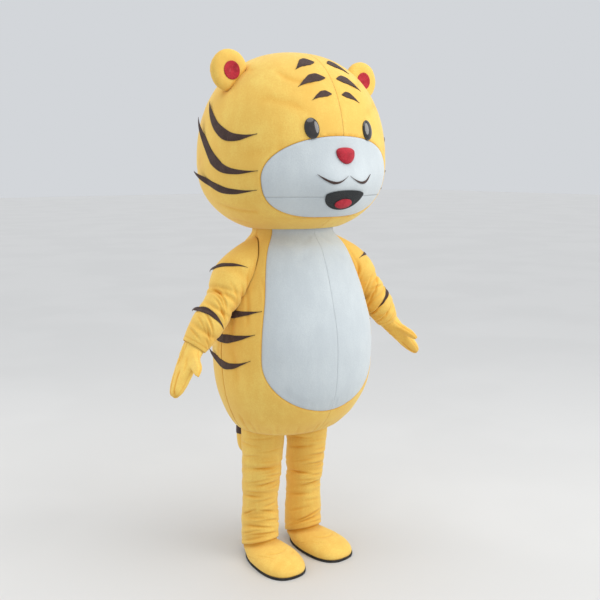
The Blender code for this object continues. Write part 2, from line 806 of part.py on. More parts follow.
def build_body(root, paints):
    heights = body_heights()
    belly_heights = [BELLY_BOTTOM + BELLY_INSET] + [z for z in heights if z > BELLY_BOTTOM + 0.001]
    for side, hand in ((1, "left"), (-1, "right")):
        panel(
            f"belly_{hand}", paints["white_plush"], root, 5, belly_heights,
            belly_edges, on_body, BODY_WALL, side,
        )
        panel(
            f"side_front_{hand}", paints["yellow_plush"], root, FRONT_COLUMNS, heights,
            front_edges, on_body, BODY_WALL, side,
        )
        panel(
            f"back_{hand}", paints["yellow_plush"], root, BACK_COLUMNS, heights,
            back_edges, on_body, BODY_WALL, side,
        )

    zip_heights = [z for z in heights if ZIP_BOTTOM < z < ZIP_TOP]
    rows = len(zip_heights) - 1

    def place_zip(u, v, inner):
        height = zip_heights[round(v * rows)]
        point = on_body(pi, height, APPLIQUE_GAP + (0 if inner else ZIP_THICKNESS))
        return Vector((point.x + (u - 0.5) * 2 * ZIP_HALF_WIDTH, point.y, point.z))

    wall("back_zip", paints["zip_tape"], root, 1, rows, place_zip)


def poly_ring(curve, points):
    spline = curve.splines.new("POLY")
    spline.points.add(len(points) - 1)
    for spot, point in zip(spline.points, points):
        spot.co = (point.x, point.y, 0, 1)
    spline.use_cyclic_u = True


def build_base(root, paints):
    """The panel that closes the body below, an oval with a hole for each leg."""
    curve = bpy.data.curves.new("base_panel", "CURVE")
    curve.dimensions = "2D"
    curve.fill_mode = "BOTH"
    curve.extrude = BASE_THICKNESS / 2
    half = [pi / 2 * k / FRONT_COLUMNS for k in range(FRONT_COLUMNS)]
    half += [pi / 2 + pi / 2 * k / BACK_COLUMNS for k in range(BACK_COLUMNS)]
    turns = half + [2 * pi - turn for turn in [pi] + half[:0:-1]]
    rim = [on_body(turn, BODY_BOTTOM, -BODY_WALL) for turn in turns]
    middle = sum(rim, Vector()) / len(rim)
    poly_ring(curve, [middle + (point - middle) * 0.996 for point in rim])
    for side in (1, -1):
        ring = [leg_skin(2 * pi * k / LEG_COLUMNS, 0.02, ()) for k in range(LEG_COLUMNS)]
        centre = sum(ring, Vector()) / LEG_COLUMNS
        hole = [point + (point - centre).normalized() * LEG_HOLE_GAP for point in ring]
        poly_ring(curve, [Vector((side * point.x, point.y, 0)) for point in hole])
    curve.materials.append(paints["yellow_plush"])
    base = bpy.data.objects.new("base_panel", curve)
    root.users_collection[0].objects.link(base)
    base.parent = root
    base.location.z = BODY_BOTTOM + BASE_THICKNESS / 2


# Sleeves, mitts, legs, shoes and tail


def build_sleeves_and_legs(root, paints):
    for side, hand in ((1, "left"), (-1, "right")):
        folds = LEG_FOLDS[hand]
        falls = leg_rows(folds)

        def place_sleeve(u, v, inner, side=side):
            point = sleeve_skin(u * 2 * pi, v, -LIMB_WALL if inner else 0)
            return Vector((side * point.x, point.y, point.z))

        def place_leg(u, v, inner, side=side, folds=folds, falls=falls):
            fall = falls[round(v * (len(falls) - 1))]
            point = leg_skin(u * 2 * pi, fall, folds, -LIMB_WALL if inner else 0)
            return Vector((side * point.x, point.y, point.z))

        plush = paints["yellow_plush"]
        wall(f"sleeve_{hand}", plush, root, SLEEVE_COLUMNS, SLEEVE_ROWS, place_sleeve, wraps=True)
        wall(f"leg_{hand}", plush, root, LEG_COLUMNS, len(falls) - 1, place_leg, wraps=True)


def mitt_frames():
    """Centre, width and thickness directions of the mitt at each of its sections."""
    hem, tangent, _, _ = tube_frame(SLEEVE_STATIONS, 1.0)
    reach = (Vector(MITT_TIP) - hem).normalized()
    frames = []
    centre = hem + tangent * MITT_SECTIONS[0][0]
    for k, (distance, half_width, half_thickness) in enumerate(MITT_SECTIONS):
        heading = tangent.lerp(reach, smooth_step(distance / 0.05)).normalized()
        if k:
            centre = centre + heading * (distance - MITT_SECTIONS[k - 1][0])
        thumb = Vector((0, -1, 0)) - heading * heading.dot(Vector((0, -1, 0)))
        thumb.normalize()
        frames.append((centre, heading, thumb, thumb.cross(heading), half_width, half_thickness))
    return frames


def build_mitts(root, paints):
    frames = mitt_frames()
    rows = len(frames) - 1
    for side, hand in ((1, "left"), (-1, "right")):
        mesh = bmesh.new()
        bmesh.ops.create_grid(mesh, x_segments=MITT_COLUMNS, y_segments=rows, size=0.5)
        thumb_root = [
            face for face in mesh.faces
            if abs(face.calc_center_median().x) < 1.01 / MITT_COLUMNS
            and 1.9 < (face.calc_center_median().y + 0.5) * rows < 4.1
        ]
        for vert in mesh.verts:
            turn = vert.co.x * 2 * pi
            centre, _, width, thickness, half_width, half_thickness = frames[round((vert.co.y + 0.5) * rows)]
            vert.co = centre + width * half_width * cos(turn) + thickness * half_thickness * sin(turn)
        bmesh.ops.remove_doubles(mesh, verts=mesh.verts, dist=1e-6)
        heading, width = frames[3][1], frames[3][2]
        direction = (heading * 0.72 + width * 0.69).normalized()
        for length, scale in THUMB_STEPS:
            made = bmesh.ops.extrude_face_region(mesh, geom=thumb_root)["geom"]
            bmesh.ops.delete(mesh, geom=thumb_root, context="FACES")
            verts = [item for item in made if isinstance(item, bmesh.types.BMVert)]
            thumb_root = [item for item in made if isinstance(item, bmesh.types.BMFace)]
            middle = sum((v.co for v in verts), Vector()) / len(verts)
            for vert in verts:
                vert.co = middle + (vert.co - middle) * scale + direction * length
        bmesh.ops.transform(mesh, matrix=Matrix.Diagonal((side, 1, 1, 1)), verts=mesh.verts)
        mitt = add_piece(f"mitt_{hand}", mesh, paints["yellow_plush"], root)
        shell = mitt.modifiers.new("Wall", "SOLIDIFY")
        shell.thickness = MITT_WALL
        shell.offset = -1
        shell.use_even_offset = True


def sole_outline(turn, grow=0.0):
    """The sole's edge about the ankle: turn 0 is the toe."""
    toward_heel = (1 - cos(turn)) / 2
    half_width = BALL_HALF_WIDTH + (HEEL_HALF_WIDTH - BALL_HALF_WIDTH) * toward_heel + grow
    half_length = (TOE_REACH + HEEL_REACH) / 2
    x = half_width * power(sin(turn), SOLE_SIDE_POWER)
    y = HEEL_REACH - half_length - (half_length + grow) * power(cos(turn), SOLE_END_POWER)
    return x, y


def on_shoe(turn, share):
    """The shoe's upper: from the sole's edge over the instep to the ankle, then up the collar."""
    edge_x, edge_y = sole_outline(turn)
    rim = max(SHOE_HEEL_RIM, leg_hem(turn + TOE_OUT) - SHOE_UNDER_HEM)
    collar = Vector((SHOE_COLLAR_RADIUS * sin(turn), -SHOE_COLLAR_RADIUS * cos(turn), rim))
    foot = Vector((edge_x, edge_y, SOLE_THICKNESS + 0.0003))
    swell = Vector((edge_x * 1.06, edge_y * 1.02, rim * 0.94))
    over = min(1.0, share * SHOE_ROWS / (SHOE_ROWS - 1))
    point = foot * (1 - over) ** 2 + swell * 2 * over * (1 - over) + collar * over**2
    if share > 0.99:
        point.z = SHOE_COLLAR_TOP
    return point


def shoe_place(side, share, turn, out):
    """A point of the shoe, moved out of it and turned out by the toe angle."""
    point = on_shoe(turn, share)
    step = 0.02
    round_it = on_shoe(turn + step, share) - on_shoe(turn - step, share)
    low, high = max(0.0, share - 0.03), min(0.857, share + 0.03)
    if share > 0.86:
        normal = Vector((sin(turn), -cos(turn), 0))
    else:
        up_it = on_shoe(turn, high) - on_shoe(turn, low)
        normal = round_it.cross(up_it).normalized()
        if share == 0:
            normal.z = 0
            normal.normalize()
    point = point + normal * out
    return shoe_to_floor(side, point)


def shoe_to_floor(side, point):
    """Turns a shoe point out by the toe angle and sets it under its leg."""
    turned = Matrix.Rotation(TOE_OUT, 3, "Z") @ point
    back = LEG_STATIONS[0][1]
    return Vector((side * (turned.x + LEG_SPREAD), turned.y + back, turned.z))


def build_shoes(root, paints):
    for side, hand in ((1, "left"), (-1, "right")):

        def place(u, v, inner, side=side):
            return shoe_place(side, v, u * 2 * pi, -SHOE_WALL if inner else 0)

        wall(f"shoe_{hand}", paints["yellow_plush"], root, SHOE_COLUMNS, SHOE_ROWS, place, wraps=True)

        def place_sole(u, v, inner, side=side):
            x, y = sole_outline(u * 2 * pi, SOLE_LIP)
            middle_y = (HEEL_REACH - TOE_REACH) / 2
            point = Vector((x * v, middle_y + (y - middle_y) * v, 0 if inner else SOLE_THICKNESS))
            return shoe_to_floor(side, point)

        wall(
            f"sole_{hand}", paints["sole_black"], root, SHOE_COLUMNS, 1, place_sole,
            wraps=True, closed_ends=(0,),
        )


# Dark rings of the tail: (name, share where it starts, share where it ends)
TAIL_RINGS = (
    ("high", 0.3750, 0.4375),
    ("low", 0.6250, 0.7500),
)


def build_tail(root, paints):
    mesh = bmesh.new()
    bmesh.ops.create_uvsphere(mesh, u_segments=TAIL_COLUMNS, v_segments=TAIL_ROWS, radius=1)
    for vert in mesh.verts:
        share = atan2(hypot(vert.co.x, vert.co.y), vert.co.z) / pi
        share = 0.5 - 0.5 * cos(share * pi) if share < 0.15 or share > 0.85 else share
        point = tail_skin(atan2(vert.co.y, vert.co.x), min(1.0, max(0.0, share)))
        vert.co = clear_of_body(point, 0.0008)
    add_piece("tail", mesh, paints["yellow_plush"], root)
    for name, start, end in TAIL_RINGS:

        def place(u, v, inner, start=start, end=end):
            share = start + (end - start) * v
            return tail_skin(u * 2 * pi, share, SEAM_GAP + (0 if inner else FELT))

        rows = round((end - start) * TAIL_ROWS)
        wall(f"tail_ring_{name}", paints["brown_felt"], root, TAIL_COLUMNS, rows, place, wraps=True)


def main():
    clear_scene()
    costume = bpy.data.collections.new("Tiger costume")
    bpy.context.scene.collection.children.link(costume)
    root = bpy.data.objects.new("shoulders", None)
    costume.objects.link(root)
    root.location.z = -SHOULDER_HEIGHT
    paints = make_paints()
    build_head(root, paints)
    build_ears(root, paints)
    build_face(root, paints)
    build_stripes(root, paints)
    build_body(root, paints)
    build_base(root, paints)
    build_sleeves_and_legs(root, paints)
    build_mitts(root, paints)
    build_shoes(root, paints)
    build_tail(root, paints)


main()
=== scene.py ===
from math import asin, atan, atan2, copysign, cos, exp, hypot, pi, radians, sin, sqrt

import bmesh
import bpy
from mathutils import Matrix, Vector, noise


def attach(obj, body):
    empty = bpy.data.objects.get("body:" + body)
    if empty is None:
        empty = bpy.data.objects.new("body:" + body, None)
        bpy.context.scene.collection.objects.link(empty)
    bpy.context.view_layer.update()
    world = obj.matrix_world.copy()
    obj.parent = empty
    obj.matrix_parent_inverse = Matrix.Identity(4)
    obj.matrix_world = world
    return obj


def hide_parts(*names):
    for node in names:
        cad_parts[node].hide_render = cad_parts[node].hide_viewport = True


# Tiger costume, worn. It faces -Y with its left arm at +X. Heights in the tables are above the
# floor, and every finished piece is lowered by this much to the row's origin at the shoulders.
shoulderHeight = 1.29
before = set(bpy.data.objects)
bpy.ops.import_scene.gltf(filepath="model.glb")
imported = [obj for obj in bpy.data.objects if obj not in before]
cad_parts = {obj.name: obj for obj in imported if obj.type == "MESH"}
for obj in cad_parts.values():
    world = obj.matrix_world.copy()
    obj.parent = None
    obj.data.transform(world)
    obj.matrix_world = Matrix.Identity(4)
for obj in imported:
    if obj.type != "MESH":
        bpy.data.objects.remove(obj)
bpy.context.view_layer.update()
scene = bpy.context.scene
hands = ((1, "left"), (-1, "right"))  # the left one is modelled and the right one is its mirror


# Small sums that every piece uses

def power(value, exponent):
    return copysign(abs(value) ** exponent, value)


def smoothStep(share):
    share = min(1.0, max(0.0, share))
    return share * share * (3 - 2 * share)


def bell(value):
    return exp(-value * value)


def smoothCurve(rows):
    # a table as a smooth curve: gives its other columns at any value of the first
    last = len(rows) - 1
    slopes = []
    for k in range(last + 1):
        before, after = rows[max(k - 1, 0)], rows[min(k + 1, last)]
        run = after[0] - before[0]
        slopes.append([(b - a) / run for a, b in zip(before[1:], after[1:])])

    def at(station):
        row = 0
        while row < last - 1 and rows[row + 1][0] <= station:
            row += 1
        low, high = rows[row], rows[row + 1]
        span = high[0] - low[0]
        t = (station - low[0]) / span
        a, b = 2 * t**3 - 3 * t**2 + 1, (t**3 - 2 * t**2 + t) * span
        c, d = 3 * t**2 - 2 * t**3, (t**3 - t**2) * span
        ends = zip(low[1:], slopes[row], high[1:], slopes[row + 1])
        return [a * p + b * m + c * q + d * n for p, m, q, n in ends]

    return at


def lifted(skin, a, b, out):
    # the skin's point at (a, b), moved out along its normal
    step = 0.001
    alongA = skin(a + step, b) - skin(a - step, b)
    alongB = skin(a, b + step) - skin(a, b - step)
    return skin(a, b) + alongA.cross(alongB).normalized() * out


def unevenness(point, size, seed):
    # soft lumps of a stuffed or padded cloth, from -1 to 1
    return noise.noise(point / size + Vector((seed, 0, 0)))


def closerAtEnds(share, pinch):
    return share - pinch * sin(2 * pi * share) / (2 * pi)


# Making and finishing a piece

touching = 1e-6  # points nearer than this are one point
thread = {"length": 0.0032, "radius": 0.00045}


def addObject(name, data):
    made = bpy.data.objects.new(name, data)
    scene.collection.objects.link(made)
    return made


def meshData(name, mesh):
    data = bpy.data.meshes.new(name)
    mesh.to_mesh(data)
    mesh.free()
    return data


def finishPiece(name, mesh, look, added=False, inside=None, wall=0.0):
    # turns a bmesh into a piece on the costume, with its faces outwards. It stands for the frame's
    # node of the same name, unless it is added. A cut is (width, length, area) in metres
    bmesh.ops.recalc_face_normals(mesh, faces=mesh.faces)
    if inside is None:
        turned = mesh.calc_volume(signed=True) < 0
    else:
        centre = Vector(inside)
        turned = sum(f.normal.dot(f.calc_center_median() - centre) * f.calc_area() for f in mesh.faces) < 0
    if turned:
        bmesh.ops.reverse_faces(mesh, faces=mesh.faces)
    bmesh.ops.translate(mesh, verts=mesh.verts, vec=(0, 0, -shoulderHeight))
    data = meshData(name, mesh)
    data.materials.append(looks[look])
    data.shade_smooth()
    piece = addObject(name, data)
    if wall:
        shell = piece.modifiers.new("Cloth wall", "SOLIDIFY")
        shell.thickness = wall
        shell.offset = -1
    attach(piece, "root")
    if not added:
        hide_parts(name)


def laidGrid(columns, rows, place):
    # a grid laid in space by place(u, v), which gives a point and how much painted shade it gets in a fold or
    # seam.
    # Sides that meet are joined, and so is a side that comes to a point
    mesh = bmesh.new()
    bmesh.ops.create_grid(mesh, x_segments=columns, y_segments=rows, size=0.5)
    creaseShade = mesh.verts.layers.float.new("creaseShade")
    for vert in mesh.verts:
        vert.co, vert[creaseShade] = place(vert.co.x + 0.5, vert.co.y + 0.5)
    bmesh.ops.remove_doubles(mesh, verts=mesh.verts, dist=touching)
    return mesh


def thickened(mesh, height):
    # the flat mesh pulled up by a height
    made = bmesh.ops.extrude_face_region(mesh, geom=mesh.faces[:])["geom"]
    verts = [item for item in made if isinstance(item, bmesh.types.BMVert)]
    bmesh.ops.translate(mesh, verts=verts, vec=(0, 0, height))


def laidSlab(columns, rows, place, wraps=False, pole=False):
    # a closed thin slab laid by place(u, v, under): felt with an edge of its own
    mesh = bmesh.new()
    bmesh.ops.create_grid(mesh, x_segments=columns, y_segments=rows, size=0.5)
    thickened(mesh, 1)
    ends = []
    for face in mesh.faces:
        if wraps and any(all(abs(v.co.x - end) < touching for v in face.verts) for end in (-0.5, 0.5)):
            ends.append(face)
        elif pole and all(abs(v.co.y + 0.5) < touching for v in face.verts):
            ends.append(face)
    bmesh.ops.delete(mesh, geom=ends, context="FACES_ONLY")
    creaseShade = mesh.verts.layers.float.new("creaseShade")
    for vert in mesh.verts:
        vert.co, vert[creaseShade] = place(vert.co.x + 0.5, vert.co.y + 0.5, vert.co.z > 0.5)
    if wraps:
        bmesh.ops.remove_doubles(mesh, verts=mesh.verts, dist=touching)
        loose = [edge for edge in mesh.edges if not edge.link_faces]
        bmesh.ops.delete(mesh, geom=loose, context="EDGES")
    return mesh


def stitches(name, path, count, side):
    # a row of small thread stitches lying along path(share), as one piece
    mesh = bmesh.new()
    for k in range(count):
        here = path((k + 0.5) / count)
        along = (path((k + 0.7) / count) - path((k + 0.3) / count)).normalized()
        made = bmesh.ops.create_icosphere(mesh, subdivisions=1, radius=1)["verts"]
        turned = along.to_track_quat("X", "Z").to_matrix().to_4x4()
        size = Matrix.Diagonal((thread["length"] / 2, thread["radius"], thread["radius"], 1))
        bmesh.ops.transform(mesh, matrix=Matrix.Translation(here) @ turned @ size, verts=made)
    bmesh.ops.scale(mesh, verts=mesh.verts, vec=(side, 1, 1))
    finishPiece(name, mesh, "yellowThread", added=True)


def mirrored(point, side):
    return Vector((side * point.x, point.y, point.z))


# Looks: every plush and felt is one shader of its own, over shared groups of nodes


class Wiring:
    # short hand for adding and joining nodes
    def __init__(self, tree):
        self.tree = tree

    def add(self, kind, **settings):
        node = self.tree.nodes.new(kind)
        for key, value in settings.items():
            setattr(node, key, value)
        return node

    def join(self, start, end):
        self.tree.links.new(start, end)

    def noise(self, vector, scale, detail=2.0, rough=0.5):
        node = self.add("ShaderNodeTexNoise")
        node.inputs["Scale"].default_value = scale
        node.inputs["Detail"].default_value = detail
        node.inputs["Roughness"].default_value = rough
        self.join(vector, node.inputs["Vector"])
        return node.outputs["Fac"]

    def sums(self, kind, a, b, c=None, clamp=False):
        node = self.add("ShaderNodeMath", operation=kind, use_clamp=clamp)
        for socket, value in zip(node.inputs, (a, b, c)):
            if value is None:
                continue
            if isinstance(value, (int, float)):
                socket.default_value = value
            else:
                self.join(value, socket)
        return node.outputs[0]

    def total(self, values, shares):
        # the values added up, each times its share
        result = 0.0
        for value, share in zip(values, shares):
            result = self.sums("MULTIPLY_ADD", value, share, result)
        return result

    def spread(self, value, low, high, toLow=0.0, toHigh=1.0):
        node = self.add("ShaderNodeMapRange")
        node.interpolation_type = "SMOOTHSTEP"
        for name, number in (("From Min", low), ("From Max", high), ("To Min", toLow), ("To Max", toHigh)):
            node.inputs[name].default_value = number
        self.join(value, node.inputs["Value"])
        return node.outputs["Result"]

    def blend(self, share, a, b, kind="MIX"):
        node = self.add("ShaderNodeMix", data_type="RGBA", blend_type=kind)
        for socket, value in ((node.inputs[0], share), (node.inputs[6], a), (node.inputs[7], b)):
            if isinstance(value, (int, float)):
                socket.default_value = value
            elif isinstance(value, (tuple, list)):
                socket.default_value = (*value, 1)
            else:
                self.join(value, socket)
        return node.outputs[2]

    def scaled(self, vector, size):
        node = self.add("ShaderNodeMapping")
        node.inputs["Scale"].default_value = size
        self.join(vector, node.inputs["Vector"])
        return node.outputs[0]


def newGroup(name, inputs, outputs):
    group = bpy.data.node_groups.new(name, "ShaderNodeTree")
    kinds = {"value": "NodeSocketFloat", "colour": "NodeSocketColor", "vector": "NodeSocketVector"}
    for label, kind in inputs:
        group.interface.new_socket(label, in_out="INPUT", socket_type=kinds[kind])
    for label, kind in outputs:
        group.interface.new_socket(label, in_out="OUTPUT", socket_type=kinds[kind])
    wires = Wiring(group)
    return group, wires, wires.add("NodeGroupInput").outputs, wires.add("NodeGroupOutput").inputs


napLook = {
    "fibreScale": 900,
    "tuftScale": 190,
    "brushScale": (34, 34, 9),
    "patchScale": 7,
    # how much each one darkens the cloth, and how high it stands
    "shades": (0.22, 0.34, 0.30, 0.42),
    "heights": (0.35, 0.8, 0.6),
}


def makeNapGroup():
    # short plush: fibres, tufts, strokes where the pile was brushed, slow changes of shade, and painted shade
    # in its folds and seams
    group, wires, given, result = newGroup(
        "Plush nap",
        [("Vector", "vector"), ("Lit", "colour"), ("Deep", "colour"), ("Crease", "value"), ("Shift", "value")],
        [("Colour", "colour"), ("Height", "value"), ("Roughness", "value")],
    )
    vector = given["Vector"]
    fibres = wires.noise(vector, napLook["fibreScale"], 2.0, 0.6)
    tufts = wires.noise(vector, napLook["tuftScale"], 3.0, 0.55)
    brushed = wires.noise(wires.scaled(vector, napLook["brushScale"]), 1.0, 3.0, 0.6)
    patches = wires.noise(vector, napLook["patchScale"], 2.0, 0.5)
    shade = wires.total((fibres, tufts, brushed, patches), napLook["shades"])
    dark = wires.spread(shade, 0.46, 0.82, 0.30, 0.0)
    # painted shade: the mask from folds, seams and joins pulls the colour towards the shade colour, added to
    # the nap's own darker patches
    napAndCreaseShade = wires.sums("MULTIPLY_ADD", given["Crease"], 0.85, dark, clamp=True)
    colour = wires.blend(napAndCreaseShade, given["Lit"], given["Deep"])
    paler = wires.spread(shade, 0.60, 0.86, 0.0, 1.0)
    paler = wires.sums("MULTIPLY", paler, given["Shift"])
    colour = wires.blend(paler, colour, (1.0, 0.98, 0.90), "SOFT_LIGHT")
    wires.join(colour, result["Colour"])
    wires.join(wires.total((fibres, tufts, brushed), napLook["heights"]), result["Height"])
    wires.join(wires.spread(tufts, 0.3, 0.7, 0.78, 0.95), result["Roughness"])
    return group


def makeFeltGroup():
    # pressed felt: matted fibres both ways, with a few pale hairs
    group, wires, given, result = newGroup(
        "Felt fibres",
        [("Vector", "vector"), ("Dye", "colour"), ("Hair", "colour"), ("Hairs", "value")],
        [("Colour", "colour"), ("Height", "value"), ("Roughness", "value")],
    )
    vector = given["Vector"]
    matted = wires.noise(vector, 420, 4.0, 0.65)
    cloudy = wires.noise(vector, 38, 2.0, 0.5)
    hairA = wires.noise(wires.scaled(vector, (260, 900, 60)), 1.0, 1.0, 0.5)
    hairB = wires.noise(wires.scaled(vector, (60, 300, 900)), 1.0, 1.0, 0.5)
    hairs = wires.sums("MAXIMUM", wires.spread(hairA, 0.62, 0.74), wires.spread(hairB, 0.62, 0.74))
    shade = wires.spread(wires.sums("ADD", matted, cloudy), 0.7, 1.3, 0.72, 1.18)
    dyed = wires.add("ShaderNodeVectorMath", operation="SCALE")
    wires.join(given["Dye"], dyed.inputs[0])
    wires.join(shade, dyed.inputs["Scale"])
    share = wires.sums("MULTIPLY", hairs, given["Hairs"])
    wires.join(wires.blend(share, dyed.outputs[0], given["Hair"]), result["Colour"])
    wires.join(wires.sums("MULTIPLY_ADD", hairs, 0.4, matted), result["Height"])
    wires.join(wires.spread(matted, 0.3, 0.7, 0.82, 0.97), result["Roughness"])
    return group


def makeNetGroup():
    # a fine even net or weave from two crossed waves
    group, wires, given, result = newGroup(
        "Fine weave",
        [("Vector", "vector"), ("Scale", "value")],
        [("Thread", "value"), ("Height", "value")],
    )
    sizes = wires.add("ShaderNodeVectorMath", operation="SCALE")
    wires.join(given["Vector"], sizes.inputs[0])
    wires.join(given["Scale"], sizes.inputs["Scale"])
    parts = wires.add("ShaderNodeSeparateXYZ")
    wires.join(sizes.outputs[0], parts.inputs[0])
    across = wires.sums("ABSOLUTE", wires.sums("SINE", parts.outputs[0], 0.0), 0.0)
    down = wires.sums("ABSOLUTE", wires.sums("SINE", parts.outputs[2], 0.0), 0.0)
    thread = wires.sums("MAXIMUM", across, down)
    wires.join(wires.spread(thread, 0.70, 0.95), result["Thread"])
    wires.join(thread, result["Height"])
    return group


def newLook(name, constants):
    # a material with its shader's constants set, ready to be wired
    material = bpy.data.materials.new(name)
    material.use_nodes = True
    looks[name] = material
    shader = material.node_tree.nodes["Principled BSDF"].inputs
    for socket, value in constants.items():
        shader[socket].default_value = value
    wires = Wiring(material.node_tree)
    return wires, shader, wires.add("ShaderNodeTexCoord").outputs["Object"]


def wireUp(wires, shader, colour, roughness=None, height=None, distance=0.0006, strength=0.5):
    # joins what a look works out to its shader, the height by way of a bump
    wires.join(colour, shader["Base Color"])
    if roughness:
        wires.join(roughness, shader["Roughness"])
    if height:
        bump = wires.add("ShaderNodeBump")
        bump.inputs["Distance"].default_value = distance
        bump.inputs["Strength"].default_value = strength
        wires.join(height, bump.inputs["Height"])
        wires.join(bump.outputs[0], shader["Normal"])


def placeGroup(wires, group, vector, **values):
    node = wires.add("ShaderNodeGroup", node_tree=group)
    wires.join(vector, node.inputs["Vector"])
    for key, value in values.items():
        if isinstance(value, tuple):
            node.inputs[key].default_value = (*value, 1)
        elif isinstance(value, (int, float)):
            node.inputs[key].default_value = value
        else:
            wires.join(value, node.inputs[key])
    return node.outputs


plushShine = {"Roughness": 0.9, "Sheen Weight": 0.35, "Sheen Roughness": 0.45, "Specular IOR Level": 0.2}
feltShine = {"Roughness": 0.9, "Sheen Weight": 0.12, "Sheen Roughness": 0.5, "Specular IOR Level": 0.2}
eyeShine = {"Roughness": 0.12, "Coat Weight": 0.8, "Coat Roughness": 0.06}
# (look, colour where the pile is lit, painted shade colour for its folds and seams, sheen, how much its shade
# shifts)
plushes = (
    ("yellowPlush", (0.88, 0.585, 0.135), (0.74, 0.34, 0.035), (1.0, 0.93, 0.62), 0.30),
    ("whitePlush", (0.60, 0.655, 0.68), (0.42, 0.46, 0.50), (1.0, 1.0, 1.0), 0.10),
)
# (look, dye, colour of the loose hairs, how many show)
felts = (
    ("brownFelt", (0.070, 0.042, 0.036), (0.20, 0.14, 0.12), 0.35),
    ("redFelt", (0.46, 0.026, 0.044), (0.72, 0.15, 0.16), 0.30),
    ("yellowThread", (0.72, 0.40, 0.05), (0.95, 0.70, 0.20), 0.5),
)
# (look, threads across a metre, between the threads, on them, roughness, bump's distance, its strength)
weaves = (
    ("mouthMesh", 2400.0, (0.003, 0.004, 0.004), (0.030, 0.034, 0.038), 0.75, 0.0006, 0.8),
    ("zipTape", 3600.0, (0.60, 0.33, 0.04), (0.86, 0.54, 0.09), 0.85, 0.0004, 0.5),
    ("zipCoil", 3600.0, (0.55, 0.30, 0.04), (0.80, 0.50, 0.10), 0.35, 0.0004, 0.5),
)
looks = {}


def makeLooks():
    nap, felt, net = makeNapGroup(), makeFeltGroup(), makeNetGroup()
    for name, lit, paintedShade, sheen, shift in plushes:
        wires, shader, place = newLook(name, {**plushShine, "Sheen Tint": (*sheen, 1)})
        # painted shade in folds, seams and joins, read from the mask each piece carries
        creaseShade = wires.add("ShaderNodeAttribute", attribute_name="creaseShade").outputs["Fac"]
        out = placeGroup(wires, nap, place, Lit=lit, Deep=paintedShade, Crease=creaseShade, Shift=shift)
        wireUp(wires, shader, out["Colour"], out["Roughness"], out["Height"], 0.0012, 0.55)
    for name, dye, hair, hairs in felts:
        wires, shader, place = newLook(name, feltShine)
        out = placeGroup(wires, felt, place, Dye=dye, Hair=hair, Hairs=hairs)
        wireUp(wires, shader, out["Colour"], out["Roughness"], out["Height"], 0.0006, 0.6)
    for name, scale, between, on, roughness, distance, strength in weaves:
        wires, shader, place = newLook(name, {"Roughness": roughness})
        out = placeGroup(wires, net, place, Scale=scale)
        colour = wires.blend(out["Thread"], between, on)
        wireUp(wires, shader, colour, None, out["Height"], distance, strength)

    wires, shader, place = newLook("eyeGloss", eyeShine)
    cloudy = wires.spread(wires.noise(place, 60, 2.0), 0.35, 0.7)
    scuffs = wires.spread(wires.noise(place, 900, 3.0, 0.7), 0.45, 0.75, 0.09, 0.30)
    wireUp(wires, shader, wires.blend(cloudy, (0.006, 0.005, 0.005), (0.020, 0.013, 0.010)), scuffs)

    # black foam, with dust that lies thickest by the floor
    wires, shader, place = newLook("soleFoam", {"Roughness": 0.8})
    cells = wires.noise(place, 700, 3.0, 0.7)
    parts = wires.add("ShaderNodeSeparateXYZ")
    wires.join(place, parts.inputs[0])
    low = wires.spread(parts.outputs[2], -shoulderHeight, 0.007 - shoulderHeight, 1.0, 0.25)
    dust = wires.sums("MULTIPLY", low, wires.spread(wires.noise(place, 45, 3.0, 0.6), 0.4, 0.7))
    colour = wires.blend(dust, (0.012, 0.012, 0.012), (0.085, 0.075, 0.062))
    wireUp(wires, shader, colour, wires.spread(cells, 0.3, 0.7, 0.68, 0.92), cells, 0.0008, 0.5)


makeLooks()
print("looks made:", len(looks))


# Seams and creases that every cloth piece shares

seam = {"depth": 0.0022, "width": 0.0042, "pucker": 0.0006, "puckerReach": 0.013}


def seamPull(distance, along, depth=1.0):
    # how far the cloth dips towards a sewn line, with small uneven puckers beside it, and how much painted
    # shade lies along the line
    near = abs(distance)
    if near > 0.05:
        return 0.0, 0.0
    dip = bell(near / seam["width"])
    pucker = sin(along / 0.0052) * 0.6 + sin(along / 0.0083 + 1.3) * 0.5
    ripple = exp(-near / seam["puckerReach"]) * (1 - dip) * pucker * seam["pucker"]
    return depth * (seam["depth"] * dip + ripple), 0.75 * depth * bell(near / (seam["width"] * 0.8))


def creaseOn(creases, a, b):
    # soft lines pressed into a skin, with painted shade along them. Each runs from (a, b) to (a, b), bowed,
    # with a width and depth
    pulled, paintedShade = 0.0, 0.0
    for a0, b0, a1, b1, bow, width, depth in creases:
        da, db = a1 - a0, b1 - b0
        length = hypot(da, db)
        along = ((a - a0) * da + (b - b0) * db) / (length * length)
        if not -0.15 < along < 1.15:
            continue
        across = ((a - a0) * db - (b - b0) * da) / length
        share = min(1.0, max(0.0, along))
        off = (across - bow * sin(pi * share)) / width
        if abs(off) > 3.5:
            continue
        fade = smoothStep((along + 0.15) / 0.4) * smoothStep((1.15 - along) / 0.4)
        trough = bell(off) - 0.40 * bell((abs(off) - 1.9) / 0.8)
        pulled += depth * fade * trough
        paintedShade += min(1.0, depth / 0.004) * fade * bell(off * 1.1)
    return pulled, paintedShade


def foldPull(folds, station, turn, length):
    # tucks across a tube, with painted shade in them: (share down, side, lean, bow, reach, depth mm, width
    # mm), angles in degrees
    pulled, paintedShade = 0.0, 0.0
    for at, side, lean, bow, reach, depth, width in folds:
        away = (turn - radians(side) + pi) % (2 * pi) - pi
        span = radians(reach) * 0.8
        if abs(away) > span:
            continue
        off = (station - at - lean * sin(away) - bow * (1 - cos(away))) * length * 1000 / width
        if not -4 < off < 4:
            continue
        fade = cos(away / span * pi / 2) ** 1.3
        roll = bell(off) - 0.55 * bell((off + 2.0) / 1.1) - 0.25 * bell((off - 2.1) / 0.9)
        pulled += depth / 1000 * fade * roll
        paintedShade += min(1.0, depth / 5) * fade * bell(off * 1.15)
    return pulled, paintedShade


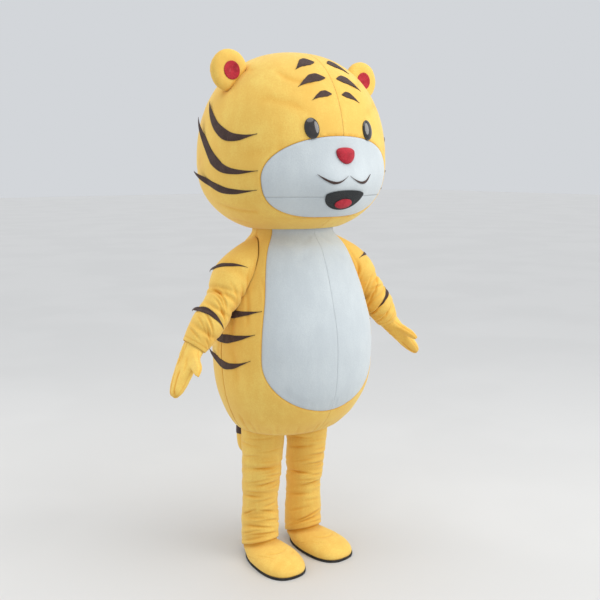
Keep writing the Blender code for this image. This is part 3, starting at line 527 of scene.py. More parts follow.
def bigFolds(folds, station, turn):
    # the largest folds, as the frame has them, with painted shade in them: (share down, depth, half width,
    # lean, side)
    pulled, paintedShade = 0.0, 0.0
    for at, depth, halfWidth, lean, side in folds:
        toward = cos(turn - radians(side))
        off = (station - at - lean * toward) / halfWidth
        if abs(off) < 4:
            share = bell(off) * (0.5 + 0.5 * toward) ** 1.8
            pulled += depth * share
            paintedShade += 0.5 * depth / 0.008 * share
    return pulled, paintedShade


# The head: two foam-backed halves, a white muzzle in two parts, ears and face

head = {
    "halfWidth": 0.3735,
    "halfDepth": 0.300,
    "centre": 1.555,
    "up": 0.395,
    "down": 0.260,
    "square": 2.25,
    "neckRise": radians(-65.7),
    "wall": 0.012,
    # (x, height, half width, half height, how far it stands out)
    "snout": (
        (0.000, 1.465, 0.190, 0.100, 0.026),
        (0.062, 1.478, 0.062, 0.052, 0.016),
        (-0.062, 1.478, 0.062, 0.052, 0.016),
        (0.000, 1.395, 0.075, 0.032, 0.008),
    ),
    "columns": 114,
    "cut": (0.98, 1.02, 0.62),
}
muzzle = {
    "bottom": radians(-45),
    "top": radians(11),
    "widest": 1.490,
    "halfTurn": radians(49),
    "squareAbove": 2.1,
    "squareBelow": 3.2,
    "mouthSeam": radians(-24),
    "inset": 0.0018,
    "columns": 104,
    "cutUpper": (0.52, 0.26, 0.104),
    "cutChin": (0.46, 0.14, 0.045),
}

# slow dents and pulls over the foam: (turn, rise, turn, rise, bow, width, depth), angles in radians
headDents = tuple(
    tuple(radians(v) for v in row[:4]) + row[4:]
    for row in (
        (14, 40, 44, 49, 0.05, 0.035, 0.0016),
        (20, 22, 52, 30, -0.03, 0.040, 0.0012),
        (52, -38, 88, -30, 0.04, 0.030, 0.0014),
        (70, -52, 108, -46, -0.02, 0.024, 0.0015),
        (112, 24, 150, 34, 0.05, 0.036, 0.0016),
        (120, -10, 160, -22, -0.04, 0.035, 0.0014),
        (128, -44, 166, -38, 0.03, 0.028, 0.0016),
        (62, 50, 104, 58, 0.03, 0.034, 0.0014),
        (30, 8, 58, 3, 0.02, 0.030, 0.0008),
        (96, 2, 124, -5, 0.03, 0.030, 0.0010),
    )
)


def headHeight(rise):
    reach = head["up"] if rise > 0 else head["down"]
    return head["centre"] + reach * power(sin(rise), 2 / head["square"])


def headSkin(turn, rise):
    ring = abs(cos(rise)) ** (2 / head["square"])
    if rise > pi / 2:
        ring = -ring
    x = head["halfWidth"] * ring * sin(turn)
    y = -head["halfDepth"] * ring * cos(turn)
    z = headHeight(rise)
    if cos(turn) > 0:
        fade = smoothStep(cos(turn) * 2)
        for atX, atZ, halfWidth, halfHeight, stand in head["snout"]:
            far = ((x - atX) / halfWidth) ** 2 + ((z - atZ) / halfHeight) ** 2
            if far < 16:
                y -= stand * exp(-far) * fade
    return Vector((x, y, z))


def onHead(turn, rise, out):
    if rise > radians(89.9):
        return Vector((0, 0, head["centre"] + head["up"] + out))
    return lifted(headSkin, turn, rise, out)


def muzzleShare(rise, inset=0.0):
    # how far a row is from the muzzle's widest line to its end, that half's height, and how square it is
    above = headHeight(rise) - muzzle["widest"]
    if above > 0:
        tall = headHeight(muzzle["top"] - inset) - muzzle["widest"]
        return above / tall, tall, muzzle["squareAbove"]
    tall = muzzle["widest"] - headHeight(muzzle["bottom"] + inset)
    return -above / tall, tall, muzzle["squareBelow"]


def muzzleHalfTurn(rise, inset=0.0):
    share, _, square = muzzleShare(rise, inset)
    if share >= 1:
        return 0.0
    return max(0.0, muzzle["halfTurn"] * (1 - share**square) ** (1 / square) - inset)


def muzzleDistance(turn, rise):
    # metres outside the muzzle's sewn edge, and the way round it
    a = abs(turn) / muzzle["halfTurn"]
    b, tall, p = muzzleShare(rise)
    g = (a**p + b**p) ** (1 / p)
    if g < 0.3:
        return -0.2, 0.0
    steep = g ** (1 - p) * hypot(a ** (p - 1) / (muzzle["halfTurn"] * 0.31), b ** (p - 1) / tall)
    return (g - 1) / steep, 0.2 * atan2(headHeight(rise) - muzzle["widest"], turn * 0.31)


def headDetail(turn, rise):
    # how far the head's cloth dips, and how much painted shade its seams and dents get
    ring = max(0.02, abs(cos(rise)))
    pulled, paintedShade = 0.0, 0.0
    away, along = muzzleDistance(turn, rise)
    pulls = [seamPull(away, along)]
    if away > 0.004:
        pulls.append(seamPull(abs(turn) * ring * 0.31, rise * 0.3, 0.28))
    pulls.append(seamPull((pi - abs(turn)) * ring * 0.31, rise * 0.3, 0.8))
    pulls.append(creaseOn(headDents, abs(turn), rise))
    for pull, creaseShade in pulls:
        pulled += pull
        paintedShade += creaseShade
    return pulled, min(1.0, paintedShade)


def earNearness(point):
    # 1 along the line where an ear is sewn to the head, fading beside it
    dx, dz = (abs(point.x) - ear["x"]) / ear["radius"], (point.z - ear["height"]) / ear["radius"]
    dy = (point.y - ear["y"]) / 0.031
    q = sqrt(dx * dx + dz * dz + dy * dy)
    return bell((q - 1.0) / 0.20)


def headPoint(turn, rise):
    pulled, paintedShade = headDetail(turn, rise)
    base = headSkin(turn, rise)
    atEar = earNearness(base)
    # the cloth dips round each ear's seam, and painted shade lies there
    pulled += 0.0022 * atEar + 0.0009 * unevenness(base, 0.11, 3.1)
    return onHead(turn, rise, -pulled), min(1.0, paintedShade + 0.55 * atEar)


def roundedRows(low, high, count):
    # rows that draw together towards both ends
    return [low + (high - low) * (0.5 - 0.5 * cos(pi * k / count)) for k in range(count + 1)]


def evenRows(low, high, count):
    return [low + (high - low) * k / count for k in range(count + 1)]


def rowsOf(*runs):
    rows = []
    for run in runs:
        rows += run if not rows else run[1:]
    return rows


def panel(name, look, rows, columns, edges, place, side, wall, inside, pinch=0.55):
    # a cut panel between two edges, with a row at each station
    def laid(u, v):
        station = rows[round(v * (len(rows) - 1))]
        first, last = edges(station)
        point, paintedShade = place(first + (last - first) * closerAtEnds(u, pinch), station)
        return mirrored(point, side), paintedShade

    mesh = laidGrid(columns, len(rows) - 1, laid)
    finishPiece(name, mesh, look, inside=inside, wall=wall)


def makeHead():
    low, high = muzzle["bottom"], muzzle["top"]
    rows = rowsOf(
        evenRows(head["neckRise"], low, 14), roundedRows(low, high, 54), evenRows(high, pi / 2, 52))
    hidden = 0.00015

    def laid(turn, rise):
        point, paintedShade = headPoint(turn, rise)
        # the neck's edge turns in, and the turned-in rim gets painted shade
        rim = smoothStep((rise - head["neckRise"]) / radians(2.4))
        point = point.lerp(onHead(turn, rise, -0.004), 1 - rim)
        point.x += hidden
        return point, max(paintedShade, 0.7 * (1 - rim))

    for side, hand in hands:
        panel(
            f"head_{hand}", "yellowPlush", rows, head["columns"],
            lambda rise: (muzzleHalfTurn(rise), pi), laid, side, head["wall"], (0, 0, 1.5))

    inset = muzzle["inset"]
    seamRise = muzzle["mouthSeam"]
    gap = 0.0003 / head["down"]
    parts = (
        ("muzzle_chin", evenRows(0, 1, 30), low + inset, seamRise - gap, muzzle["cutChin"]),
        ("muzzle_upper", evenRows(0, 1, 44), seamRise + gap, high - inset, muzzle["cutUpper"]),
    )

    def laidMuzzle(turn, rise):
        # dips and painted shade along the muzzle's edge and its mouth seam
        away, along = muzzleDistance(turn, rise)
        pulled, paintedShade = seamPull(away, along)
        pullMouth, mouthShade = seamPull((rise - seamRise) * 0.27, turn * 0.3, 0.25)
        base = headSkin(turn, rise)
        pulled += pullMouth + 0.0008 * unevenness(base, 0.09, 8.4)
        return onHead(turn, rise, -pulled), min(1.0, 0.7 * (paintedShade + mouthShade))

    for name, shares, start, end, cut in parts:
        if name == "muzzle_chin":
            rows = [start + (end - start) * (1 - cos(pi / 2 * share)) for share in shares]
        else:
            rows = [start + (end - start) * sin(pi / 2 * share) for share in shares]
        panel(
            name, "whitePlush", rows, muzzle["columns"],
            lambda rise: (-muzzleHalfTurn(rise, inset), muzzleHalfTurn(rise, inset)),
            laidMuzzle, 1, head["wall"], (0, 0, 1.5), pinch=0.3)


# Ears: stuffed discs with a dished front, a felt oval in the dish, and a seam round the edge
ear = {
    "x": 0.296,
    "y": -0.034,
    "height": 1.866,
    "radius": 0.072,
    "halfThickness": 0.028,
    "dish": 0.013,
    "clearance": 0.0002,
    "innerPolar": radians(30),
    "innerCut": (0.064, 0.064, 0.0031),
}


def headShare(point):
    # how far out a point is, where 1 is the head's plain form
    z = point.z - head["centre"]
    flat = hypot(point.x / head["halfWidth"], point.y / head["halfDepth"])
    reach = head["up"] if z > 0 else head["down"]
    return (flat ** head["square"] + abs(z / reach) ** head["square"]) ** (1 / head["square"])


def clearOfHead(point, clearance):
    share, wanted = headShare(point), 1 + clearance / head["halfDepth"]
    if share >= wanted:
        return point
    grow = wanted / share
    return Vector((point.x * grow, point.y * grow, head["centre"] + (point.z - head["centre"]) * grow))


def earPoint(turn, polar, out):
    flat = sin(polar) ** 1.2
    depth = ear["halfThickness"] * power(cos(polar), 0.8) + out
    if polar < pi / 2:
        depth -= ear["dish"] * bell(flat / 0.5)
    x = ear["x"] + ear["radius"] * flat * cos(turn)
    z = ear["height"] + ear["radius"] * flat * sin(turn)
    return Vector((x, ear["y"] - depth, z))


def makeEars():
    for side, hand in hands:
        mesh = bmesh.new()
        bmesh.ops.create_uvsphere(mesh, u_segments=96, v_segments=64, radius=1)
        creaseShade = mesh.verts.layers.float.new("creaseShade")
        for vert in mesh.verts:
            turn = atan2(vert.co.y, vert.co.x)
            polar = atan2(hypot(vert.co.x, vert.co.y), vert.co.z)
            offSeam = (polar - radians(98)) * 0.05
            dip = bell(offSeam / 0.0035)
            pucker = sin(turn * 23) * 0.6 + sin(turn * 37 + 1) * 0.4
            edge = exp(-abs(offSeam) / 0.010) * (1 - dip) * pucker
            radial = bell((polar - radians(44)) / 0.30) * sin(turn * 9 + 0.7) * 0.5
            free = earPoint(turn, polar, 0.0)
            outward = (free - Vector((ear["x"], ear["y"], ear["height"]))).normalized()
            point = free - outward * (0.0022 * dip + 0.0009 * edge + 0.0008 * radial)
            point += outward * 0.0012 * unevenness(free, 0.03, side * 2.0)
            settled = clearOfHead(point, ear["clearance"])
            joined = (settled - point).length
            nearHead = bell(max(0.0, (headShare(settled) - 1) * head["halfDepth"]) / 0.006)
            point = mirrored(settled, side)
            vert.co = point
            # painted shade along the ear's seam and where it meets the head
            vert[creaseShade] = min(1.0, 0.7 * dip + 0.8 * nearHead * (1 if joined < 0.01 else 0.6))
        finishPiece(f"ear_{hand}", mesh, "yellowPlush")

        def placeInner(u, v, under, side=side):
            turn, polar = u * 2 * pi, v * ear["innerPolar"]
            rolled = 0.0007 * smoothStep((v - 0.90) / 0.10)
            dimple = 0.0005 * sin(turn * 5) * v * (1 - v)
            out = 0.0007 + (0 if under else 0.0020 - rolled + dimple)
            point = earPoint(turn, polar, out)
            point = clearOfHead(point, out + ear["clearance"])
            return mirrored(point, side), 0.0

        mesh = laidSlab(72, 16, placeInner, wraps=True, pole=True)
        finishPiece(f"inner_ear_{hand}", mesh, "redFelt")


# The face: plain round eyes, a padded nose, a smile with a tongue, all of a general tiger
eye = {"x": 0.122, "height": 1.668, "halfWidth": 0.026, "halfHeight": 0.035, "dome": 0.009}
nose = {"height": 1.578, "halfWidth": 0.044, "halfHeight": 0.028, "dome": 0.013}
mouth = {"height": 1.447, "halfWidth": 0.082, "halfHeight": 0.052}
tongue = {"height": 1.418, "halfWidth": 0.036, "halfHeight": 0.016, "dome": 0.004}
lip = {"start": (0.0035, 1.5100), "end": (0.118, 1.5160), "width": 0.0085, "bow": -0.026}
felt = {"gap": 0.0007, "thickness": 0.0016, "muzzleGap": 0.0021}


def faceAngles(x, height):
    reach = head["up"] if height > head["centre"] else head["down"]
    share = min(1.0, abs(height - head["centre"]) / reach)
    rise = copysign(asin(share ** (head["square"] / 2)), height - head["centre"])
    ring = (1 - share ** head["square"]) ** (1 / head["square"])
    return asin(max(-1.0, min(1.0, x / (head["halfWidth"] * ring)))), rise


def onFace(x, height, out):
    return onHead(*faceAngles(x, height), out)


def oval(halfWidth, halfHeight, square=2.0):
    def outline(turn):
        return halfWidth * power(sin(turn), 2 / square), halfHeight * power(cos(turn), 2 / square)

    return outline


def noseOutline(turn):
    x, z = oval(nose["halfWidth"], nose["halfHeight"], 2.4)(turn)
    return x * (1 + 0.32 * cos(turn)) * 0.85, z


def mouthOutline(turn):
    x, z = oval(mouth["halfWidth"], mouth["halfHeight"])(turn)
    return x, z * 0.3 if z > 0 else z


def patch(
        name, look, outline, middle, thickness, dome, side=1, cells=(96, 18), gap=0.0007):
    # a padded or flat patch on the face, with its edge tucked under
    def place(u, v, under):
        reach = sin(v * pi / 2)
        x, z = outline(u * 2 * pi)
        tucked = 0.0006 * smoothStep((v - 0.9) / 0.1) * thickness / 0.002
        out = gap if under else gap + thickness + dome * (1 - reach * reach) ** 0.6 - tucked
        point = onFace(middle[0] + x * reach, middle[1] + z * reach, out)
        return mirrored(point, side), 0.0

    mesh = laidSlab(cells[0], cells[1], place, wraps=True, pole=True)
    finishPiece(name, mesh, look)


def stripeWidth(share):
    return max(0.03, sin(pi * share**1.4)) ** 0.85


def stripe(name, skin, start, end, width, bow, lift, side, cells=(96, 10), gap=0.0007):
    # a felt stripe on a skin, bowed, its end lifting free, its long edges curled down a little
    def place(u, v, under):
        share = closerAtEnds(u, 0.3)
        ripple = 1 + 0.04 * sin(share * 23 + start[1] * 9)
        across = (v - 0.5) * width * stripeWidth(share) * ripple
        a = start[0] + (end[0] - start[0]) * share
        b = start[1] + (end[1] - start[1]) * share + bow * sin(pi * share) + across
        free = lift * smoothStep((share - 0.72) / 0.28)
        curl = 0.0005 * (2 * v - 1) ** 4 if not under else 0.0
        point = skin(a, b, gap + free + (0 if under else felt["thickness"] - curl))
        return mirrored(point, side), 0.0

    mesh = laidSlab(cells[0], cells[1], place)
    finishPiece(name, mesh, "brownFelt")


def makeFace():
    for side, hand in hands:
        patch(
            f"eye_{hand}", "eyeGloss", oval(eye["halfWidth"], eye["halfHeight"]),
            (eye["x"], eye["height"]), 0.002, eye["dome"], side)
        stripe(
            f"lip_{hand}", onFace, lip["start"], lip["end"], lip["width"], lip["bow"], 0.0, side,
            cells=(64, 6), gap=0.0014)
    patch("nose", "redFelt", noseOutline, (0, nose["height"]), 0.002, nose["dome"], gap=0.001)
    patch(
        "mouth", "mouthMesh", mouthOutline, (0, mouth["height"]), felt["thickness"], 0.0,
        cells=(120, 20), gap=felt["muzzleGap"])
    patch(
        "tongue", "redFelt", oval(tongue["halfWidth"], tongue["halfHeight"]), (0, tongue["height"]),
        0.002, tongue["dome"], gap=felt["muzzleGap"] + felt["thickness"] + 0.0007)


# Felt stripes. Head stripes in degrees of turn and rise, body stripes in degrees and heights,
# sleeve stripes in degrees and share of the way down: front end, back end, width, bow, lift
stripes = {
    "forehead": (
        ("top", 0.118, 1.868, 0.028, 1.900, 0.026, 0.012, 0.0007, (0.042, 0.105, 0.0029)),
        ("middle", 0.138, 1.806, 0.024, 1.842, 0.028, 0.014, 0.0007, (0.036, 0.125, 0.0029)),
        ("low", 0.104, 1.762, 0.022, 1.786, 0.022, 0.010, 0.0005, (0.026, 0.088, 0.0015)),
    ),
    "head": (
        ("high", 50.5, 11.5, 97, 29, 5.6, -8.3, 0.004, (0.034, 0.30, 0.0070)),
        ("middle", 50, -4.5, 103, 20, 6.2, -9.6, 0.016, (0.040, 0.36, 0.0100)),
        ("low", 52, -18, 101, -4.5, 6.2, -6.7, 0.020, (0.034, 0.31, 0.0070)),
    ),
    "body": (
        ("high", 54.5, 1.038, 103, 1.012, 0.027, -0.006, 0.004, (0.028, 0.25, 0.0046)),
        ("middle", 58, 0.956, 105, 0.926, 0.032, -0.011, 0.004, (0.033, 0.26, 0.0055)),
        ("low", 61, 0.862, 109, 0.872, 0.030, -0.037, 0.012, (0.031, 0.28, 0.0056)),
    ),
    "sleeve": (
        ("upper", 77.14, 0.170, -51.43, 0.245, 0.028, 0.015, 0.010, (0.022, 0.18, 0.0026)),
        ("lower", 128.57, 0.695, -51.43, 0.690, 0.058, -0.045, 0.016, (0.021, 0.19, 0.0026)),
    ),
}


def makeHeadStripes():
    def onHeadDegrees(turn, rise, out):
        return onHead(radians(turn), radians(rise), out + 0.0003)

    for side, hand in hands:
        for name, x0, z0, x1, z1, width, bow, gap, cut in stripes["forehead"]:
            stripe(
                f"forehead_{name}_{hand}", onFace, (x0, z0), (x1, z1), width, bow, 0.0, side, gap=gap)
        for name, a0, b0, a1, b1, width, bow, lift, cut in stripes["head"]:
            stripe(
                f"head_stripe_{name}_{hand}", onHeadDegrees, (a0, b0), (a1, b1), width, bow, lift, side,
                cells=(120, 10))


# The body: a padded barrel of six panels over a base panel with two leg holes

body = {
    # (height, half width, half depth, how far the centre lies back)
    "sections": (
        (0.545, 0.2060, 0.176, 0.034),
        (0.570, 0.2330, 0.199, 0.028),
        (0.620, 0.2680, 0.229, 0.014),
        (0.718, 0.3090, 0.262, 0.000),
        (0.854, 0.3230, 0.275, 0.000),
        (0.957, 0.3155, 0.268, 0.000),
        (1.036, 0.2955, 0.250, 0.000),
        (1.113, 0.2700, 0.228, 0.000),
        (1.190, 0.2380, 0.203, 0.000),
        (1.250, 0.2050, 0.174, 0.000),
        (1.300, 0.1655, 0.1324, 0.000),
        (1.335, 0.1655, 0.1324, 0.000),
    ),
    "bottom": 0.545,
    "top": 1.335,
    "wall": 0.007,
    "baseThickness": 0.006,
    "seamTurn": 0.00015 / 0.27,
    "cutSide": (0.34, 0.88, 0.163),
    "cutBack": (0.48, 0.88, 0.318),
}
belly = {
    "bottom": 0.655,
    "round": 0.205,
    "halfTurn": radians(53),
    "neckTurn": radians(60),
    "inset": 0.0004,
    "cut": (0.28, 0.70, 0.170),
}
armhole = {"centre": 1.205, "halfHeight": 0.085, "halfTurn": radians(22)}
bodyAt = smoothCurve(body["sections"])

# soft lines over the body: (turn, height, turn, height, bow, width, depth). Turns are in metres
# round the body, from the middle of the front
flankFolds = (
    (0.365, 1.115, 0.330, 0.985, 0.008, 0.0085, 0.0024),
    (0.405, 1.105, 0.392, 0.930, -0.006, 0.0100, 0.0028),
    (0.440, 1.100, 0.462, 0.960, 0.006, 0.0090, 0.0022),
    (0.300, 1.150, 0.262, 1.060, 0.006, 0.0080, 0.0015),
    (0.392, 0.900, 0.372, 0.775, 0.008, 0.0120, 0.0018),
    (0.350, 0.620, 0.338, 0.548, 0.003, 0.0065, 0.0026),
    (0.305, 0.600, 0.300, 0.548, -0.002, 0.0055, 0.0022),
    (0.262, 0.590, 0.252, 0.548, 0.002, 0.0050, 0.0018),
    (0.215, 0.605, 0.210, 0.548, -0.002, 0.0060, 0.0022),
    (0.168, 0.588, 0.166, 0.548, 0.002, 0.0050, 0.0016),
    (0.120, 0.598, 0.115, 0.548, 0.002, 0.0055, 0.0020),
    (0.070, 0.585, 0.070, 0.548, -0.001, 0.0050, 0.0014),
    (0.028, 0.600, 0.024, 0.548, 0.001, 0.0055, 0.0018),
    (0.395, 0.640, 0.388, 0.548, 0.003, 0.0075, 0.0028),
    (0.240, 0.660, 0.300, 0.610, 0.006, 0.0120, 0.0012),
)
backFolds = (
    (0.470, 1.110, 0.500, 0.985, 0.008, 0.0085, 0.0026),
    (0.500, 1.140, 0.560, 1.040, 0.008, 0.0090, 0.0020),
    (0.452, 0.980, 0.480, 0.850, -0.006, 0.0100, 0.0020),
    (0.830, 1.210, 0.740, 1.150, -0.008, 0.0100, 0.0018),
    (0.850, 1.090, 0.790, 1.062, 0.004, 0.0080, 0.0016),
    (0.845, 0.960, 0.800, 0.940, -0.004, 0.0090, 0.0014),
    (0.850, 0.800, 0.780, 0.770, 0.005, 0.0110, 0.0015),
    (0.440, 0.640, 0.446, 0.548, 0.003, 0.0075, 0.0026),
    (0.490, 0.615, 0.500, 0.548, -0.002, 0.0060, 0.0022),
    (0.540, 0.590, 0.545, 0.548, 0.002, 0.0050, 0.0018),
    (0.590, 0.610, 0.590, 0.548, 0.002, 0.0060, 0.0024),
    (0.640, 0.592, 0.636, 0.548, -0.002, 0.0055, 0.0018),
    (0.690, 0.605, 0.694, 0.548, 0.002, 0.0055, 0.0020),
    (0.740, 0.588, 0.736, 0.548, 0.001, 0.0050, 0.0016),
    (0.790, 0.600, 0.792, 0.548, -0.001, 0.0055, 0.0020),
    (0.600, 0.760, 0.700, 0.700, 0.010, 0.0160, 0.0014),
)
bellyFolds = (
    (0.030, 1.300, 0.110, 1.270, 0.006, 0.0090, 0.0014),
    (0.060, 1.245, 0.160, 1.200, 0.008, 0.0120, 0.0010),
    (0.200, 0.760, 0.120, 0.700, -0.006, 0.0140, 0.0010),
    (0.010, 0.705, 0.016, 0.662, 0.001, 0.0060, 0.0010),
    (0.090, 0.700, 0.085, 0.664, 0.001, 0.0060, 0.0010),
)


def bodySkin(turn, height):
    halfWidth, halfDepth, back = bodyAt(height)
    return Vector((halfWidth * sin(turn), back - halfDepth * cos(turn), height))


def onBody(turn, height, out):
    return lifted(bodySkin, turn, height, out)


def bellyHalfTurn(height, inset=0.0):
    over = height - inset - belly["bottom"]
    if over <= 0:
        return 0.0
    roundShare = max(0.0, 1 - over / belly["round"])
    rounded = belly["halfTurn"] * (1 - roundShare**2) ** 0.55
    return rounded + (belly["neckTurn"] - belly["halfTurn"]) * smoothStep((height - 1.05) / 0.25)


def armholeHalfTurn(height):
    share = abs(height - armhole["centre"]) / armhole["halfHeight"]
    return armhole["halfTurn"] * (1 - share * share) ** 0.5 if share < 1 else 0.0


def bellyDistance(turn, height):
    # metres outside the belly panel's sewn edge
    radius = 0.29
    if height < belly["bottom"] + belly["round"]:
        t = turn / belly["halfTurn"]
        s = (belly["bottom"] + belly["round"] - height) / belly["round"]
        f = max(1e-6, t) ** 1.818 + s * s - 1
        steep = hypot(1.818 * max(1e-6, t) ** 0.818 / (belly["halfTurn"] * radius), 2 * s / belly["round"])
        return f / max(steep, 1e-6)
    return (turn - bellyHalfTurn(height)) * radius


def armholeDistance(turn, height):
    t = (turn - pi / 2) / armhole["halfTurn"]
    s = (height - armhole["centre"]) / armhole["halfHeight"]
    f = t * t + s * s - 1
    steep = hypot(2 * t / (armhole["halfTurn"] * 0.25), 2 * s / armhole["halfHeight"])
    return f / max(steep, 1e-6)


def bodyDetail(turn, height):
    # how far the body's cloth dips at seams and folds, and how much painted shade they get
    radius = bodyAt(height)[0]
    pulls = []
    overSide = abs(height - armhole["centre"]) > armhole["halfHeight"]
    away = bellyDistance(turn, height)
    pulls.append(seamPull(away, turn * 0.1 + height, 0.9))
    if overSide:
        pulls.append(seamPull((turn - pi / 2) * radius, height, 0.8))
    pulls.append(seamPull(armholeDistance(turn, height), turn * 0.2 + height * 1.3, 1.1))
    if turn < pi / 2:
        if away < 0 or height < belly["bottom"]:
            pulls.append(seamPull(turn * radius, height, 0.22))
        folds = flankFolds if away > 0 else bellyFolds
        pull, paintedShade = creaseOn(folds, turn * 0.29, height)
        pulls.append((pull, 0.6 * paintedShade))
    else:
        pulls.append(seamPull((pi - turn) * radius, height, 1.0))
        pull, paintedShade = creaseOn(backFolds, turn * 0.29, height)
        pulls.append((pull, 0.6 * paintedShade))
    pulled = sum(pull for pull, paintedShade in pulls)
    return pulled, min(1.0, sum(paintedShade for pull, paintedShade in pulls))


def bodyPoint(turn, height):
    pulled, paintedShade = bodyDetail(turn, height)
    base = bodySkin(turn, height)
    pulled += 0.0011 * unevenness(base, 0.12, 5.7)
    # the hem turns in at the bottom, with painted shade on it
    hem = bell((height - body["bottom"]) / 0.006)
    paintedShade = min(1.0, paintedShade + 0.55 * hem)
    return onBody(turn, height, -pulled - 0.0025 * hem), paintedShade


def makeBody():
    low, high = armhole["centre"] - armhole["halfHeight"], armhole["centre"] + armhole["halfHeight"]
    armRows = roundedRows(low, high, 30)
    bottom, shoulder = belly["bottom"], belly["bottom"] + belly["round"]
    bellyRows = [bottom + (shoulder - bottom) * (1 - cos(pi / 2 * k / 30)) for k in range(31)]
    rows = rowsOf(
        evenRows(body["bottom"], bottom, 24), bellyRows, evenRows(shoulder, armRows[0], 40),
        armRows, evenRows(armRows[-1], body["top"], 7))
    upperRows = [bottom + belly["inset"]] + [z for z in rows if z > bottom + 0.0008]
    seamTurn = body["seamTurn"]

    def laid(turn, height):
        point, paintedShade = bodyPoint(turn, height)
        point.x += 0.00015
        return point, paintedShade

    def laidBelly(turn, height):
        point, paintedShade = laid(turn, height)
        # the white panel gets less painted shade
        return point, 0.7 * paintedShade

    middle = (0, 0, 0.9)
    for side, hand in hands:
        panel(
            f"belly_{hand}", "whitePlush", upperRows, 52,
            lambda z: (0.0, max(0.0, bellyHalfTurn(z, belly["inset"]) - 2 * seamTurn)),
            laidBelly, side, body["wall"], middle, pinch=0.45)
        panel(
            f"side_front_{hand}", "yellowPlush", rows, 56,
            lambda z: (bellyHalfTurn(z), pi / 2 - armholeHalfTurn(z) - seamTurn),
            laid, side, body["wall"], middle, pinch=0.45)
        panel(
            f"back_{hand}", "yellowPlush", rows, 60,
            lambda z: (pi / 2 + armholeHalfTurn(z) + seamTurn, pi),
            laid, side, body["wall"], middle, pinch=0.45)
    for side, hand in hands:
        for name, a0, b0, a1, b1, width, bow, lift, cut in stripes["body"]:
            stripe(
                f"body_stripe_{name}_{hand}", lambda a, b, out: onBodyCloth(radians(a), b, out),
                (a0, b0), (a1, b1), width, bow, lift, side)


def onBodyCloth(turn, height, out):
    pulled, _ = bodyDetail(turn, height)
    return onBody(turn, height, out - 0.5 * pulled + 0.0005)


def makeBase():
    # the flat panel under the body: an oval ring round each leg hole, filled and given its thickness
    mesh = bmesh.new()
    rim = [onBody(2 * pi * k / 96, body["bottom"], -body["wall"]) for k in range(96)]
    middle = sum(rim, Vector()) / len(rim)
    loops = [[middle + (point - middle) * 0.996 for point in rim]]
    for side in (1, -1):
        ring = [legSkin(2 * pi * k / 48, 0.02, "left") for k in range(48)]
        centre = sum(ring, Vector()) / len(ring)
        loops.append([mirrored(point + (point - centre).normalized() * 0.0005, side) for point in ring])
    edges = []
    for loop in loops:
        verts = [mesh.verts.new((point.x, point.y, body["bottom"])) for point in loop]
        edges += [mesh.edges.new(pair) for pair in zip(verts, verts[1:] + verts[:1])]
    bmesh.ops.triangle_fill(mesh, edges=edges, use_beauty=True, use_dissolve=False)
    thickened(mesh, body["baseThickness"])
    mesh.verts.layers.float.new("creaseShade")
    finishPiece("base_panel", mesh, "yellowPlush")


# The zip down the centre back: a woven tape with a nylon coil
zipper = {
    "bottom": 0.720, "top": 1.292, "halfWidth": 0.005, "thickness": 0.0012, "pitch": 0.0030,
    "cut": (0.010, 0.60, 0.0059),
}


def makeZip():
    def place(u, v, under):
        height = zipper["bottom"] + 0.004 + (zipper["top"] - zipper["bottom"] - 0.008) * v
        across = (u - 0.5) * 2 * zipper["halfWidth"]
        point = onBody(pi, height, 0.0007 + (0 if under else zipper["thickness"]))
        return Vector((point.x + across, point.y, point.z)), 0.0

    finishPiece("back_zip", laidSlab(6, 150, place), "zipTape")
    mesh = bmesh.new()
    count = int((zipper["top"] - zipper["bottom"] - 0.012) / zipper["pitch"])
    for k in range(count):
        height = zipper["bottom"] + 0.006 + k * zipper["pitch"]
        side = 1 if k % 2 else -1
        made = bmesh.ops.create_icosphere(mesh, subdivisions=1, radius=1)["verts"]
        point = onBody(pi, height, 0.0007 + zipper["thickness"] + 0.0005)
        grow = Matrix.Diagonal((0.0022, 0.0009, 0.0010, 1))
        there = Matrix.Translation((side * 0.0007, point.y, point.z))
        bmesh.ops.transform(mesh, matrix=there @ Matrix.Rotation(side * 0.25, 4, "Y") @ grow, verts=made)
    finishPiece("zip_coil", mesh, "zipCoil", added=True)


# Sleeves: tubes that hang from the armholes, tucked at the elbows

sleeve = {
    # (share of the way down, x, y, height, radius)
    "stations": (
        (0.00, 0.205, 0.000, 1.205, 0.082),
        (0.22, 0.284, -0.018, 1.148, 0.074),
        (0.50, 0.347, -0.038, 1.060, 0.060),
        (0.76, 0.407, -0.040, 0.985, 0.059),
        (1.00, 0.455, -0.037, 0.920, 0.046),
    ),
    # (share down, depth, half width, lean, side), as the frame has them
    "bigFolds": (
        (0.20, 0.004, 0.035, 0.02, 60),
        (0.38, 0.007, 0.022, 0.02, 20),
        (0.47, 0.009, 0.022, -0.03, 50),
        (0.56, 0.006, 0.020, 0.03, 70),
        (0.68, 0.005, 0.024, -0.04, 40),
        (0.80, 0.006, 0.024, 0.03, 80),
        (0.52, 0.010, 0.030, 0.00, 180),
        (0.36, 0.006, 0.030, 0.02, 200),
    ),
    "length": 0.385,
    "wall": 0.0028,
    "columns": 116,
    "rows": 128,
    "cut": (0.46, 0.42, 0.158),
}

